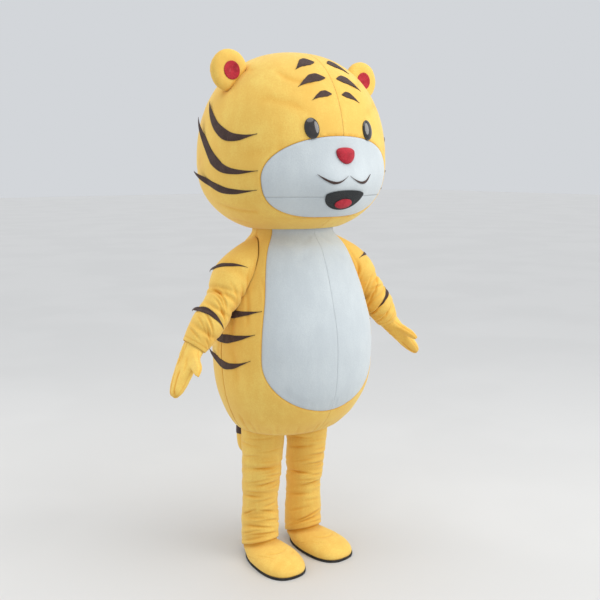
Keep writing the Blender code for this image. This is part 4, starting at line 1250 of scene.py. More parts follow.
# tucks of each sleeve: (share down, side, lean, bow, reach, depth mm, width mm)
sleeveTucks = {
    "right": (
        (0.463, 50, 0.10, 0.10, 85, 5.0, 5.2), (0.510, 58, 0.11, 0.09, 70, 4.2, 4.8),
        (0.560, 68, 0.10, 0.06, 60, 3.4, 4.6), (0.438, 28, 0.03, 0.10, 34, 3.4, 3.6),
        (0.602, 92, 0.08, 0.05, 50, 3.0, 4.8), (0.395, 96, 0.12, 0.05, 50, 2.6, 5.5),
        (0.345, 122, 0.10, 0.00, 46, 3.0, 6.0), (0.236, 112, 0.16, 0.00, 52, 3.4, 7.0),
        (0.150, 98, 0.18, 0.00, 46, 2.4, 8.0), (0.205, 28, -0.05, 0.05, 52, 1.8, 8.5),
        (0.722, 62, 0.12, 0.08, 62, 3.8, 5.0), (0.768, 38, 0.10, 0.05, 55, 2.6, 4.4),
        (0.822, 82, 0.13, 0.05, 56, 3.6, 5.2), (0.884, 28, 0.05, 0.03, 60, 2.6, 4.6),
        (0.918, 112, 0.07, 0.00, 50, 2.6, 4.6), (0.694, 2, 0.04, 0.03, 42, 2.2, 5.0),
        (0.430, 222, -0.06, 0.05, 70, 4.2, 5.6), (0.498, 200, -0.08, 0.04, 62, 5.0, 5.6),
        (0.572, 240, 0.05, 0.04, 62, 3.8, 5.4), (0.655, 208, -0.06, 0.00, 60, 3.0, 5.6),
        (0.362, 252, 0.05, 0.00, 52, 2.6, 6.4), (0.782, 232, -0.08, 0.04, 70, 3.4, 5.0),
        (0.862, 282, 0.05, 0.03, 60, 2.6, 4.8), (0.282, 210, -0.08, 0.00, 60, 3.0, 7.4),
        (0.162, 252, -0.06, 0.00, 60, 2.4, 8.4), (0.940, 200, -0.04, 0.02, 80, 2.4, 4.4),
    ),
    "left": (
        (0.452, 62, 0.08, 0.10, 80, 4.4, 5.4), (0.498, 84, -0.06, 0.08, 62, 3.8, 4.8),
        (0.548, 128, 0.09, 0.05, 66, 4.4, 5.0), (0.420, 112, 0.10, 0.04, 48, 3.0, 4.6),
        (0.602, 150, 0.07, 0.05, 54, 3.4, 5.0), (0.700, 132, 0.08, 0.04, 84, 4.8, 4.6),
        (0.742, 168, 0.05, 0.04, 50, 3.2, 5.0), (0.660, 74, 0.06, 0.05, 50, 2.6, 5.4),
        (0.352, 142, 0.12, 0.00, 50, 3.2, 6.4), (0.250, 120, 0.15, 0.00, 52, 3.4, 7.4),
        (0.158, 92, 0.18, 0.00, 46, 2.4, 8.2), (0.812, 96, 0.10, 0.05, 60, 3.6, 5.0),
        (0.872, 146, 0.07, 0.03, 66, 3.6, 4.8), (0.922, 90, 0.05, 0.02, 70, 2.8, 4.4),
        (0.784, 28, 0.07, 0.04, 55, 2.8, 5.2), (0.556, 20, 0.08, 0.06, 60, 3.4, 5.4),
        (0.462, 208, -0.06, 0.04, 66, 4.6, 5.6), (0.528, 236, -0.07, 0.04, 60, 4.0, 5.4),
        (0.604, 214, 0.05, 0.03, 60, 3.4, 5.4), (0.684, 246, -0.06, 0.00, 58, 3.0, 5.6),
        (0.376, 228, 0.05, 0.00, 54, 2.8, 6.6), (0.802, 214, -0.07, 0.04, 68, 3.2, 5.0),
        (0.880, 258, 0.05, 0.03, 60, 2.6, 4.8), (0.270, 230, -0.08, 0.00, 60, 3.0, 7.6),
    ),
}
sleeveAt = smoothCurve(sleeve["stations"])


def clearOfBody(point, clearance):
    height = min(body["top"], max(body["bottom"], point.z))
    halfWidth, halfDepth, back = bodyAt(height)
    depth = hypot(point.x / halfWidth, (point.y - back) / halfDepth)
    wanted = 1 + clearance / halfDepth
    if depth >= wanted:
        return point
    grow = wanted / depth
    return Vector((point.x * grow, back + (point.y - back) * grow, point.z))


def tubeFrame(at, share, front=Vector((0, -1, 0))):
    here = Vector(at(share)[:3])
    before = Vector(at(max(0.0, share - 0.01))[:3])
    after = Vector(at(min(1.0, share + 0.01))[:3])
    tangent = (after - before).normalized()
    front = (front - tangent * front.dot(tangent)).normalized()
    return here, tangent, front, front.cross(tangent)


def armholeEdge(turn, inset):
    height = armhole["centre"] + (armhole["halfHeight"] - inset) * cos(turn)
    halfTurn = armhole["halfTurn"] - inset / 0.27
    return bodySkin(pi / 2 - halfTurn * sin(turn), height)


def sleevePoint(turn, share, hand, out=0.0):
    # a sleeve, drawn on the left: turn 0 is its outer side, and a quarter turn its front
    centre, _, front, outer = tubeFrame(sleeveAt, share)
    big, bigFoldShade = bigFolds(sleeve["bigFolds"], share, turn)
    fine, tuckShade = foldPull(sleeveTucks[hand], share, turn, sleeve["length"])
    settle = smoothStep((share - 0.03) / 0.10)
    hem = bell((share - 0.955) / 0.006) * 0.0007 + smoothStep((share - 0.985) / 0.015) * 0.0012
    flat = Vector((cos(turn), sin(turn), share * 3))
    lumps = 0.0010 * unevenness(flat, 0.45, 2.2 if hand == "left" else 7.7)
    radius = sleeveAt(share)[3] - big - settle * (fine + lumps) - hem + out
    roundPoint = centre + radius * (cos(turn) * outer + sin(turn) * front)
    start = armholeEdge(turn, 0.0008 + 0.0012 * bell(share / 0.02))
    point = start.lerp(roundPoint, smoothStep(share / 0.22))
    # painted shade in the folds, at the armhole seam and at the hem
    seamDeep = bell(share / 0.012)
    paintedShade = min(1.0, 0.8 * (bigFoldShade + tuckShade) * settle + 0.7 * seamDeep + 0.5 * bell((share - 0.955) / 0.006))
    return clearOfBody(point, (0.003 + max(0.0, out)) * smoothStep(share / 0.1)), paintedShade


def makeSleeves():
    for side, hand in hands:
        def place(u, v, side=side, hand=hand):
            share = v + 0.03 * sin(2 * pi * v) / (2 * pi)
            point, paintedShade = sleevePoint(u * 2 * pi, share, hand)
            return mirrored(point, side), paintedShade

        mesh = laidGrid(sleeve["columns"], sleeve["rows"], place)
        finishPiece(
            f"sleeve_{hand}", mesh, "yellowPlush", inside=(side * 0.36, -0.03, 1.06),
            wall=sleeve["wall"])
        stitches(
            f"sleeve_hem_thread_{hand}",
            lambda share: sleevePoint(share * 2 * pi, 0.958, hand, 0.0002)[0], 64, side)
        for name, a0, b0, a1, b1, width, bow, lift, cut in stripes["sleeve"]:
            def onSleeve(turn, share, out, hand=hand):
                return sleevePoint(radians(turn), share, hand, out + 0.0003)[0]

            stripe(
                f"sleeve_stripe_{name}_{hand}", onSleeve, (a0, b0), (a1, b1), width, bow, lift, side,
                cells=(110, 12))


# Mitts: two faces sewn round the edge, with a thumb and stitched finger lines

mitt = {
    # (distance from the sleeve's hem, half width, half thickness)
    "sections": (
        (-0.032, 0.0412, 0.0412),
        (0.000, 0.0410, 0.0410),
        (0.030, 0.0420, 0.0360),
        (0.062, 0.0430, 0.0310),
        (0.095, 0.0420, 0.0290),
        (0.135, 0.0390, 0.0270),
        (0.170, 0.0320, 0.0230),
        (0.195, 0.0190, 0.0150),
        (0.205, 0.0000, 0.0000),
    ),
    "tip": (0.577, -0.110, 0.766),
    "columns": 12,
    "thumb": ((0.026, 0.82), (0.028, 0.95), (0.018, 0.72)),
    "wall": 0.0026,
    "grow": 1.035,
    "cut": (0.27, 0.27, 0.060),
    # finger lines: (offset across, from distance, to distance, depth)
    "fingers": ((-0.0135, 0.098, 0.196, 0.0036), (0.0125, 0.104, 0.192, 0.0032)),
}

# soft lines on a mitt: (across, distance, across, distance, bow, width, depth)
mittFolds = {
    "right": (
        (-0.004, 0.004, -0.010, 0.090, 0.004, 0.0035, 0.0032),
        (0.012, 0.010, 0.006, 0.070, -0.003, 0.0032, 0.0022),
        (-0.030, 0.050, -0.006, 0.078, 0.004, 0.0040, 0.0026),
        (-0.026, 0.014, -0.020, 0.050, 0.002, 0.0036, 0.0018),
        (0.024, 0.060, 0.030, 0.110, 0.002, 0.0040, 0.0016),
    ),
    "left": (
        (-0.028, 0.052, 0.010, 0.082, 0.006, 0.0040, 0.0030),
        (-0.022, 0.022, 0.006, 0.040, 0.004, 0.0036, 0.0024),
        (0.014, 0.008, 0.010, 0.060, -0.003, 0.0034, 0.0020),
        (-0.008, 0.086, 0.020, 0.100, 0.003, 0.0038, 0.0016),
    ),
}


def mittFrames():
    hem, tangent, _, _ = tubeFrame(sleeveAt, 1.0)
    reach = (Vector(mitt["tip"]) - hem).normalized()
    frames = []
    sections = mitt["sections"]
    centre = hem + tangent * sections[0][0]
    for k, (distance, halfWidth, halfThickness) in enumerate(sections):
        heading = tangent.lerp(reach, smoothStep(distance / 0.05)).normalized()
        if k:
            centre = centre + heading * (distance - sections[k - 1][0])
        thumb = Vector((0, -1, 0)) - heading * heading.dot(Vector((0, -1, 0)))
        thumb.normalize()
        frames.append((centre, heading, thumb, thumb.cross(heading), halfWidth, halfThickness))
    return frames


def subdivided(mesh, levels):
    # the mesh as a subdivision surface, back as a bmesh to be worked on further
    data = meshData("cage", mesh)
    cage = addObject("cage", data)
    smooth = cage.modifiers.new("Smooth", "SUBSURF")
    smooth.levels = smooth.render_levels = levels
    done = bmesh.new()
    done.from_object(cage, bpy.context.evaluated_depsgraph_get())
    bpy.data.objects.remove(cage)
    bpy.data.meshes.remove(data)
    return done


def makeMitts():
    frames = mittFrames()
    rows = len(frames) - 1
    for side, hand in hands:
        mesh = bmesh.new()
        bmesh.ops.create_grid(mesh, x_segments=mitt["columns"], y_segments=rows, size=0.5)
        thumbRoot = [
            face for face in mesh.faces
            if abs(face.calc_center_median().x) < 1.01 / mitt["columns"]
            and 1.9 < (face.calc_center_median().y + 0.5) * rows < 4.1
        ]
        for vert in mesh.verts:
            turn = vert.co.x * 2 * pi
            row = round((vert.co.y + 0.5) * rows)
            centre, _, width, thickness, halfWidth, halfThickness = frames[row]
            grow = mitt["grow"] if row > 1 else 0.985
            vert.co = centre + (width * halfWidth * cos(turn) + thickness * halfThickness * sin(turn)) * grow
        bmesh.ops.remove_doubles(mesh, verts=mesh.verts, dist=1e-6)
        heading, width = frames[3][1], frames[3][2]
        direction = (heading * 0.72 + width * 0.69).normalized()
        for length, scale in mitt["thumb"]:
            made = bmesh.ops.extrude_face_region(mesh, geom=thumbRoot)["geom"]
            bmesh.ops.delete(mesh, geom=thumbRoot, context="FACES")
            verts = [item for item in made if isinstance(item, bmesh.types.BMVert)]
            thumbRoot = [item for item in made if isinstance(item, bmesh.types.BMFace)]
            middle = sum((v.co for v in verts), Vector()) / len(verts)
            for vert in verts:
                vert.co = middle + (vert.co - middle) * scale + direction * length
        bmesh.ops.recalc_face_normals(mesh, faces=mesh.faces)
        mesh = subdivided(mesh, 3)
        mesh.normal_update()
        outward = sum(f.normal.dot(f.calc_center_median() - frames[4][0]) for f in mesh.faces)
        sign = 1 if outward > 0 else -1
        creaseShade = mesh.verts.layers.float.new("creaseShade")
        moves = []
        palm, across, deepAxis = frames[3][0], frames[4][2], frames[4][3]
        straight = frames[4][1]
        for vert in mesh.verts:
            local = vert.co - palm
            distance = local.dot(straight) + mitt["sections"][3][0]
            offset = local.dot(across)
            pulled, paintedShade = creaseOn(mittFolds[hand], offset, distance)
            for at, start, end, depth in mitt["fingers"]:
                fade = smoothStep((distance - start) / 0.02) * smoothStep((end + 0.012 - distance) / 0.012)
                line = bell((offset - at * (1 - 0.25 * (distance - start) / 0.1)) / 0.0032)
                pulled += depth * fade * line
                paintedShade += 0.9 * fade * line
            level = local.dot(deepAxis)
            # the side seam dips, with painted shade along it
            edge = bell(level / 0.0028) * smoothStep((distance - 0.01) / 0.02)
            pulled += 0.0012 * edge + 0.0009 * unevenness(vert.co, 0.022, side * 4.0)
            paintedShade = min(1.0, paintedShade + 0.45 * edge)
            # where the mitt sits in the sleeve it gets painted shade
            if distance < 0.004:
                pulled, paintedShade = 0.0, 0.8
            moves.append((vert, vert.normal * sign * -pulled, paintedShade))
        for vert, move, paintedShade in moves:
            vert.co = mirrored(vert.co + move, side)
            vert[creaseShade] = paintedShade
        finishPiece(
            f"mitt_{hand}", mesh, "yellowPlush",
            inside=mirrored(frames[4][0], side), wall=mitt["wall"])


# Legs: tubes that hang from the base panel and lie in tucks down to a slanting hem

leg = {
    "spread": 0.108,
    # (height, how far back, radius)
    "stations": (
        (0.026, 0.078, 0.0755),
        (0.130, 0.078, 0.0755),
        (0.180, 0.078, 0.0745),
        (0.235, 0.076, 0.0715),
        (0.320, 0.068, 0.0780),
        (0.420, 0.058, 0.0810),
        (0.500, 0.053, 0.0850),
        (0.565, 0.052, 0.0870),
    ),
    "top": 0.565,
    "hemFront": 0.080,
    "hemBack": 0.026,
    "wall": 0.0028,
    "length": 0.50,
    "columns": 120,
    "rows": 160,
    "cut": (0.54, 0.56, 0.285),
}
legBigFolds = {
    "left": (
        (0.186, 0.0040, 0.024, 0.014, -60), (0.272, 0.0040, 0.024, -0.012, -50),
        (0.359, 0.0040, 0.022, 0.012, 10), (0.440, 0.0050, 0.022, 0.012, 0),
        (0.505, 0.0080, 0.024, -0.016, -45), (0.612, 0.0070, 0.024, 0.012, -10),
        (0.699, 0.0040, 0.024, -0.010, -50), (0.907, 0.0050, 0.024, 0.020, -10),
        (0.470, 0.0070, 0.030, 0.016, 180), (0.740, 0.0060, 0.030, -0.016, 160),
    ),
    "right": (
        (0.268, 0.0040, 0.024, 0.012, 60), (0.371, 0.0080, 0.024, -0.012, 25),
        (0.498, 0.0060, 0.024, 0.012, 10), (0.600, 0.0050, 0.024, -0.012, 56),
        (0.745, 0.0070, 0.026, 0.018, 38), (0.866, 0.0050, 0.024, -0.024, 40),
        (0.945, 0.0045, 0.022, 0.012, 30), (0.440, 0.0070, 0.030, 0.016, 180),
        (0.690, 0.0060, 0.030, -0.016, 200),
    ),
}

# tucks of each leg: (share down, side, lean, bow, reach, depth mm, width mm)
legTucks = {
    "right": (
        (0.105, 40, 0.012, 0.012, 70, 2.2, 4.6), (0.160, 80, -0.014, 0.012, 60, 2.4, 5.0),
        (0.214, 10, 0.010, 0.010, 60, 1.8, 5.0), (0.256, 72, 0.020, 0.020, 46, 3.0, 4.6),
        (0.308, 18, -0.010, 0.014, 52, 2.0, 5.4), (0.366, 26, -0.014, 0.016, 56, 4.4, 4.2),
        (0.398, 4, 0.010, 0.012, 64, 2.6, 4.6), (0.436, -8, -0.010, 0.014, 50, 3.0, 4.8),
        (0.470, 44, 0.018, 0.014, 62, 3.2, 4.6), (0.503, 14, 0.014, 0.020, 52, 4.2, 4.4),
        (0.540, -12, 0.010, 0.012, 44, 3.0, 4.6), (0.566, 52, -0.016, 0.012, 56, 2.6, 5.0),
        (0.604, 60, -0.016, 0.014, 56, 4.0, 4.6), (0.648, 20, 0.010, 0.012, 62, 2.4, 5.2),
        (0.698, -2, 0.016, 0.014, 48, 3.0, 4.8), (0.734, 74, 0.040, 0.020, 44, 4.6, 4.4),
        (0.748, 8, -0.046, 0.016, 46, 4.6, 4.4), (0.792, 42, -0.016, 0.012, 62, 3.0, 4.6),
        (0.832, -4, -0.030, 0.012, 52, 3.0, 4.6), (0.868, 34, -0.040, 0.020, 72, 4.6, 4.6),
        (0.903, 74, 0.016, 0.010, 52, 3.0, 4.2), (0.934, 22, -0.022, 0.014, 84, 4.2, 4.2),
        (0.966, 62, 0.010, 0.006, 62, 2.2, 3.8), (0.130, 200, 0.010, 0.010, 80, 2.4, 5.2),
        (0.226, 170, -0.014, 0.014, 70, 3.0, 5.0), (0.318, 214, 0.014, 0.012, 66, 2.8, 5.0),
        (0.402, 176, -0.012, 0.020, 76, 4.4, 4.8), (0.456, 200, 0.016, 0.016, 66, 4.6, 4.6),
        (0.512, 160, -0.014, 0.012, 60, 3.4, 4.8), (0.582, 222, 0.012, 0.012, 62, 3.0, 5.0),
        (0.648, 178, 0.016, 0.014, 70, 3.6, 4.8), (0.712, 206, -0.016, 0.014, 68, 4.0, 4.6),
        (0.790, 172, 0.014, 0.012, 66, 3.2, 4.8), (0.862, 214, -0.014, 0.012, 74, 3.8, 4.6),
        (0.930, 182, 0.012, 0.010, 80, 3.4, 4.4), (0.478, 300, 0.014, 0.012, 60, 3.0, 4.8),
        (0.622, 292, -0.014, 0.012, 56, 2.8, 5.0), (0.770, 304, 0.018, 0.010, 56, 3.0, 4.6),
        (0.880, 292, -0.014, 0.010, 60, 3.0, 4.4), (0.350, 290, -0.012, 0.012, 56, 2.6, 5.2),
    ),
    "left": (
        (0.086, -50, 0.010, 0.010, 66, 2.2, 4.6), (0.136, -20, -0.010, 0.012, 70, 2.6, 4.6),
        (0.184, -62, 0.012, 0.012, 56, 3.4, 4.4), (0.222, 0, 0.010, 0.014, 64, 2.4, 4.8),
        (0.268, -52, -0.010, 0.012, 60, 3.2, 4.4), (0.308, 20, 0.012, 0.014, 56, 2.6, 4.8),
        (0.352, 6, 0.014, 0.016, 66, 3.4, 4.4), (0.388, -44, -0.012, 0.012, 52, 2.8, 4.6),
        (0.428, -4, 0.010, 0.016, 62, 4.0, 4.4), (0.462, 30, -0.012, 0.012, 46, 3.0, 4.4),
        (0.500, -48, 0.030, 0.020, 60, 5.0, 4.4), (0.540, 6, 0.014, 0.012, 52, 3.0, 4.8),
        (0.574, -30, 0.020, 0.012, 50, 2.6, 5.0), (0.610, -8, -0.012, 0.018, 60, 4.8, 4.2),
        (0.648, 30, -0.012, 0.012, 48, 2.8, 4.6), (0.698, -46, 0.012, 0.012, 58, 2.8, 5.0),
        (0.762, -6, 0.012, 0.014, 62, 1.8, 6.0), (0.822, -48, -0.016, 0.012, 56, 2.4, 5.2),
        (0.876, 12, -0.018, 0.012, 60, 3.0, 4.4), (0.902, -18, -0.034, 0.020, 78, 4.8, 4.2),
        (0.940, -36, -0.020, 0.012, 70, 3.6, 4.2), (0.968, 18, 0.008, 0.006, 60, 2.2, 3.8),
        (0.120, 190, 0.012, 0.010, 80, 2.6, 5.0), (0.240, 206, -0.012, 0.014, 66, 3.0, 5.0),
        (0.330, 168, 0.014, 0.012, 66, 2.8, 5.0), (0.418, 196, -0.014, 0.018, 74, 4.2, 4.8),
        (0.472, 164, 0.016, 0.016, 66, 4.4, 4.6), (0.534, 210, -0.014, 0.012, 60, 3.4, 4.8),
        (0.604, 172, 0.012, 0.012, 62, 3.0, 5.0), (0.672, 200, 0.016, 0.014, 70, 3.4, 4.8),
        (0.736, 160, -0.016, 0.014, 66, 4.0, 4.6), (0.812, 198, 0.014, 0.012, 66, 3.2, 4.8),
        (0.884, 174, -0.014, 0.012, 72, 3.8, 4.6), (0.948, 200, 0.012, 0.010, 80, 3.0, 4.4),
        (0.452, 96, 0.014, 0.012, 56, 3.0, 4.8), (0.588, 84, -0.014, 0.012, 56, 2.8, 5.0),
        (0.736, 92, 0.016, 0.010, 56, 3.0, 4.6), (0.862, 86, -0.014, 0.010, 60, 3.2, 4.4),
        (0.338, 90, -0.012, 0.012, 56, 2.6, 5.2), (0.204, 84, 0.012, 0.012, 60, 2.4, 5.2),
    ),
}
legAt = smoothCurve(leg["stations"])


def legHem(turn):
    return (leg["hemFront"] + leg["hemBack"]) / 2 + (leg["hemFront"] - leg["hemBack"]) / 2 * cos(turn)


def legDetail(turn, fall, hand):
    big, bigFoldShade = bigFolds(legBigFolds[hand], fall, turn)
    fine, tuckShade = foldPull(legTucks[hand], fall, turn, leg["length"])
    return big, fine, min(1.0, 0.8 * (bigFoldShade + tuckShade))


def legSkin(turn, fall, hand, pulled=0.0):
    height = leg["top"] + (legHem(turn) - leg["top"]) * fall
    back, radius = legAt(height)
    radius -= pulled
    return Vector((leg["spread"] + radius * sin(turn), back - radius * cos(turn), height))


def legPoint(turn, fall, hand, out=0.0):
    big, fine, paintedShade = legDetail(turn, fall, hand)
    flat = Vector((cos(turn), sin(turn), fall * 5))
    lumps = 0.0012 * unevenness(flat, 0.5, 1.9 if hand == "left" else 6.1)
    free = smoothStep((fall - 0.05) / 0.05)
    hem = bell((fall - 0.965) / 0.005) * 0.0006 + smoothStep((fall - 0.99) / 0.01) * 0.0010
    point = legSkin(turn, fall, hand, big + free * (fine + lumps) + hem - out)
    # painted shade in the folds and at the top, under the base panel
    return point, min(1.0, paintedShade + 0.6 * bell(fall / 0.05))


def makeLegs():
    for side, hand in hands:
        def place(u, v, side=side, hand=hand):
            point, paintedShade = legPoint(u * 2 * pi, v, hand)
            return mirrored(point, side), paintedShade

        mesh = laidGrid(leg["columns"], leg["rows"], place)
        finishPiece(
            f"leg_{hand}", mesh, "yellowPlush", inside=(side * leg["spread"], 0.065, 0.3),
            wall=leg["wall"])
        stitches(
            f"leg_hem_thread_{hand}",
            lambda share: legPoint(share * 2 * pi, 0.966, hand, 0.0002)[0], 92, side)


# Shoes: a soft upper over a wide foam sole

shoe = {
    "toeOut": radians(3),
    "toeReach": 0.258,
    "heelReach": 0.040,
    "ballHalfWidth": 0.097,
    "heelHalfWidth": 0.082,
    "sidePower": 0.77,
    "endPower": 0.88,
    "soleThickness": 0.009,
    "soleLip": 0.0025,
    "underHem": 0.014,
    "heelRim": 0.024,
    "collarRadius": 0.0670,
    "collarTop": 0.152,
    "wall": 0.005,
    "cut": (0.48, 0.34, 0.100),
}

# soft lines on a shoe: (turn, share up, turn, share up, bow, width, depth)
shoeFolds = (
    (-0.55, 0.80, 0.50, 0.76, 0.03, 0.020, 0.0022),
    (-0.95, 0.70, -0.30, 0.62, 0.02, 0.018, 0.0014),
    (0.40, 0.64, 1.10, 0.72, -0.02, 0.018, 0.0016),
    (1.30, 0.60, 1.95, 0.50, 0.02, 0.020, 0.0014),
    (-1.90, 0.52, -1.25, 0.62, 0.02, 0.020, 0.0014),
)


def soleOutline(turn, grow=0.0):
    towardHeel = (1 - cos(turn)) / 2
    halfWidth = shoe["ballHalfWidth"] + (shoe["heelHalfWidth"] - shoe["ballHalfWidth"]) * towardHeel + grow
    halfLength = (shoe["toeReach"] + shoe["heelReach"]) / 2
    x = halfWidth * power(sin(turn), shoe["sidePower"])
    y = shoe["heelReach"] - halfLength - (halfLength + grow) * power(cos(turn), shoe["endPower"])
    return x, y


def upperPoint(turn, over):
    # the upper from the sole's edge (0) over the instep to the ankle (1)
    edgeX, edgeY = soleOutline(turn)
    rim = max(shoe["heelRim"], legHem(turn + shoe["toeOut"]) - shoe["underHem"])
    collar = Vector((shoe["collarRadius"] * sin(turn), -shoe["collarRadius"] * cos(turn), rim))
    foot = Vector((edgeX, edgeY, shoe["soleThickness"] + 0.0003))
    swell = Vector((edgeX * 1.06, edgeY * 1.02, rim * 0.94))
    return foot * (1 - over) ** 2 + swell * 2 * over * (1 - over) + collar * over**2


def shoeToFloor(side, point):
    turned = Matrix.Rotation(shoe["toeOut"], 3, "Z") @ point
    return Vector((side * (turned.x + leg["spread"]), turned.y + leg["stations"][0][1], turned.z))


def makeShoes():
    collarShare = 0.86

    for side, hand in hands:
        def place(u, v, side=side):
            turn = u * 2 * pi
            if v > collarShare:
                point = upperPoint(turn, 1.0)
                climb = (v - collarShare) / (1 - collarShare)
                point.z += (shoe["collarTop"] - point.z) * climb
                # the collar inside the leg's hem is painted in shade
                return shoeToFloor(side, point), 0.8
            over = v / collarShare
            step = 0.02
            roundIt = upperPoint(turn + step, over) - upperPoint(turn - step, over)
            upIt = upperPoint(turn, min(1.0, over + step)) - upperPoint(turn, max(0.0, over - step))
            normal = roundIt.cross(upIt).normalized()
            wrapped = (turn + pi) % (2 * pi) - pi
            pulled, paintedShade = creaseOn(shoeFolds, wrapped, over)
            edge = bell(over / 0.035)
            gather = exp(-over / 0.12) * (sin(turn * 41) * 0.5 + sin(turn * 27 + 1) * 0.5) * (1 - edge)
            base = upperPoint(turn, over)
            pulled += 0.0016 * edge + 0.0005 * gather + 0.0008 * unevenness(base, 0.05, 9.3 + side)
            pulled = pulled * smoothStep((1 - over) / 0.1)
            point = base - normal * pulled
            # painted shade in the folds, along the sole's edge and towards the collar
            shaded = 0.5 * smoothStep((over - 0.9) / 0.1)
            return shoeToFloor(side, point), min(1.0, 0.6 * paintedShade + 0.6 * edge + shaded)

        mesh = laidGrid(140, 76, place)
        finishPiece(
            f"shoe_{hand}", mesh, "yellowPlush", inside=shoeToFloor(side, Vector((0, -0.09, 0.02))),
            wall=shoe["wall"])

        mesh = bmesh.new()
        bmesh.ops.create_circle(mesh, segments=128, radius=1, cap_ends=True)
        for vert in mesh.verts:
            x, y = soleOutline(atan2(vert.co.x, -vert.co.y), shoe["soleLip"])
            vert.co = shoeToFloor(side, Vector((x, y, 0)))
        thickened(mesh, shoe["soleThickness"])
        bmesh.ops.recalc_face_normals(mesh, faces=mesh.faces)
        rims = [edge for edge in mesh.edges if edge.calc_face_angle(0) > 1]
        bmesh.ops.bevel(
            mesh, geom=rims, offset=0.0025, offset_type="OFFSET", segments=3, profile=0.5, affect="EDGES",
            material=-1, clamp_overlap=True)
        finishPiece(f"sole_{hand}", mesh, "soleFoam")


# The tail: a stuffed tube with two dark rings

tail = {
    # (share of the way down, x, y, height)
    "stations": (
        (0.00, 0.000, 0.236, 0.655),
        (0.28, -0.004, 0.290, 0.585),
        (0.52, -0.014, 0.313, 0.500),
        (0.76, -0.022, 0.312, 0.420),
        (1.00, -0.022, 0.300, 0.338),
    ),
    "radius": 0.040,
    "rings": (
        ("high", 0.3750, 0.4375, (0.256, 0.024, 0.0055)),
        ("low", 0.6250, 0.7500, (0.256, 0.046, 0.0110)),
    ),
}
tailAt = smoothCurve(tail["stations"])
tailTucks = (
    (0.20, 180, 0.02, 0.02, 70, 1.8, 5.0), (0.31, 40, 0.02, 0.02, 80, 2.2, 5.0),
    (0.50, 200, -0.02, 0.02, 80, 2.0, 5.0), (0.58, 20, 0.02, 0.01, 70, 1.8, 4.6),
    (0.82, 170, 0.02, 0.02, 80, 1.8, 4.6), (0.88, 350, -0.02, 0.02, 70, 1.6, 4.4),
)


def tailPoint(turn, share, out=0.0):
    centre, _, across, outer = tubeFrame(tailAt, share, Vector((1, 0, 0)))
    pulled, paintedShade = foldPull(tailTucks, share, turn, 0.34)
    radius = tail["radius"] * (1 - abs(2 * share - 1) ** 9) ** 0.5
    seamDip = 0.0012 * bell(((turn % (2 * pi)) - pi) * radius / 0.003)
    radius += out - (pulled + seamDip) * smoothStep(radius / 0.03)
    return centre + radius * (cos(turn) * outer + sin(turn) * across), paintedShade


def makeTail():
    mesh = bmesh.new()
    bmesh.ops.create_uvsphere(mesh, u_segments=72, v_segments=110, radius=1)
    creaseShade = mesh.verts.layers.float.new("creaseShade")
    for vert in mesh.verts:
        share = atan2(hypot(vert.co.x, vert.co.y), vert.co.z) / pi
        end = 0.10
        if share < end:
            share = end * (1 - cos(share / end * pi / 2))
        elif share > 1 - end:
            share = 1 - end * (1 - cos((1 - share) / end * pi / 2))
        point, paintedShade = tailPoint(atan2(vert.co.y, vert.co.x), min(1.0, max(0.0, share)))
        point = clearOfBody(point, 0.0008)
        vert.co = point
        # painted shade in the tucks and at the root by the body
        vert[creaseShade] = min(1.0, paintedShade + bell((share - 0.1) / 0.05))
    finishPiece("tail", mesh, "yellowPlush")
    for name, start, end, cut in tail["rings"]:
        def place(u, v, under, start=start, end=end):
            share = start + (end - start) * v
            rolled = 0.0005 * (2 * v - 1) ** 6
            out = 0.0006 + (0 if under else felt["thickness"] - rolled)
            return tailPoint(u * 2 * pi, share, out)[0], 0.0

        mesh = laidSlab(72, 10, place, wraps=True)
        finishPiece(f"tail_ring_{name}", mesh, "brownFelt")


makeHead()
makeEars()
makeFace()
makeHeadStripes()
print("head made")
makeBody()
makeBase()
makeZip()
print("body made")
makeSleeves()
makeMitts()
print("sleeves and mitts made")
makeLegs()
makeShoes()
makeTail()
print("legs, shoes and tail made")


# The studio: a pale floor, soft lights from both sides and above, and the photo's camera

studio = {
    "floorColour": (0.62, 0.617, 0.608),
    "skyColour": (0.93, 0.96, 1.0),
    "skyStrength": 0.70,
    "azimuth": radians(-36),
    "distance": 3.0,
    "height": 1.537,
    "pitch": atan(0.1671),
    "lens": 790 * 36 / 600,
    "shift": 7 / 600,
    # (name, across, toward the camera, height, size, power, colour), about the costume
    "lights": (
        ("windowLight", 2.6, 0.6, 2.6, 2.2, 44, (1.0, 0.98, 0.94)),
        ("sideLight", -2.8, -0.4, 2.0, 2.0, 20, (1.0, 0.97, 0.92)),
    ),
    # an even light from high up: (across, toward the camera, height, strength, softness)
    "ceiling": (0.5, 0.6, 3.0, 1.25, radians(60)),
}


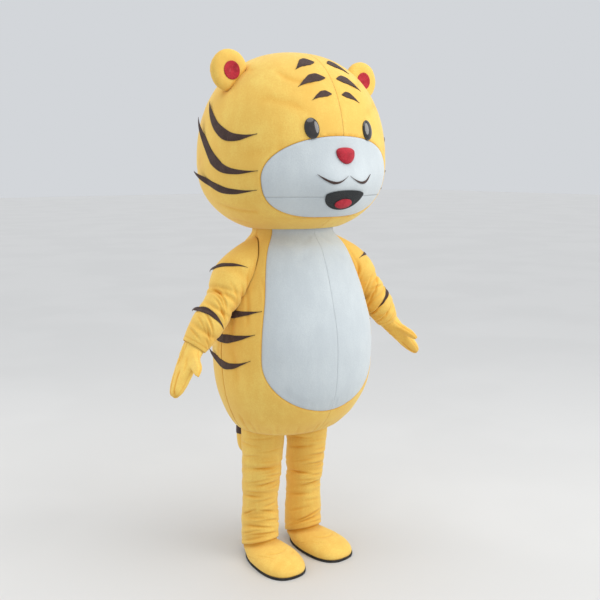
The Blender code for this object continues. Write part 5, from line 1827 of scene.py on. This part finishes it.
def aim(thing, place, target):
    away = (Vector(place) - Vector(target)).normalized()
    turn = away.to_track_quat("Z", "Y")
    thing.matrix_world = Matrix.Translation(place) @ turn.to_matrix().to_4x4()


def makeStudio():
    mesh = bmesh.new()
    bmesh.ops.create_grid(mesh, x_segments=1, y_segments=1, size=40)
    bmesh.ops.translate(mesh, verts=mesh.verts, vec=(0, 0, -shoulderHeight))
    floorPiece = addObject("floor", meshData("floor", mesh))
    wires, shader, place = newLook("paleFloor", {"Roughness": 0.6})
    cloudy = wires.noise(place, 0.8, 3.0)
    pale = studio["floorColour"]
    darker = tuple(value * 0.97 for value in pale)
    wireUp(wires, shader, wires.blend(wires.spread(cloudy, 0.4, 0.6), darker, pale))
    floorPiece.data.materials.append(looks["paleFloor"])

    world = bpy.data.worlds.new("room")
    scene.world = world
    world.use_nodes = True
    sky = world.node_tree.nodes["Background"]
    sky.inputs[0].default_value = (*studio["skyColour"], 1)
    sky.inputs[1].default_value = studio["skyStrength"]

    azimuth = studio["azimuth"]
    back = Vector((sin(azimuth), -cos(azimuth), 0))
    across = Vector((cos(azimuth), sin(azimuth), 0))
    for name, sideways, toward, height, size, strength, colour in studio["lights"]:
        light = bpy.data.lights.new(name, "AREA")
        light.shape = "DISK"
        light.size = size
        light.energy = strength
        light.color = colour
        place = across * sideways + back * toward + Vector((0, 0, height - shoulderHeight))
        aim(addObject(name, light), place, (0, 0, -0.25))

    sideways, toward, height, strength, softness = studio["ceiling"]
    light = bpy.data.lights.new("ceilingLight", "SUN")
    light.energy = strength
    light.angle = softness
    place = across * sideways + back * toward + Vector((0, 0, height))
    aim(addObject("ceilingLight", light), place, (0, 0, 0))

    lens = bpy.data.cameras.new("photoCamera")
    lens.sensor_width = 36
    lens.lens = studio["lens"]
    lens.shift_x = studio["shift"]
    camera = addObject("photoCamera", lens)
    place = back * studio["distance"] + Vector((0, 0, studio["height"] - shoulderHeight))
    down = Vector((0, 0, -sin(studio["pitch"])))
    aim(camera, place, place - back * cos(studio["pitch"]) + down)
    scene.camera = camera
    scene.view_settings.view_transform = "Standard"
    scene.view_settings.look = "None"


makeStudio()
print("studio made")
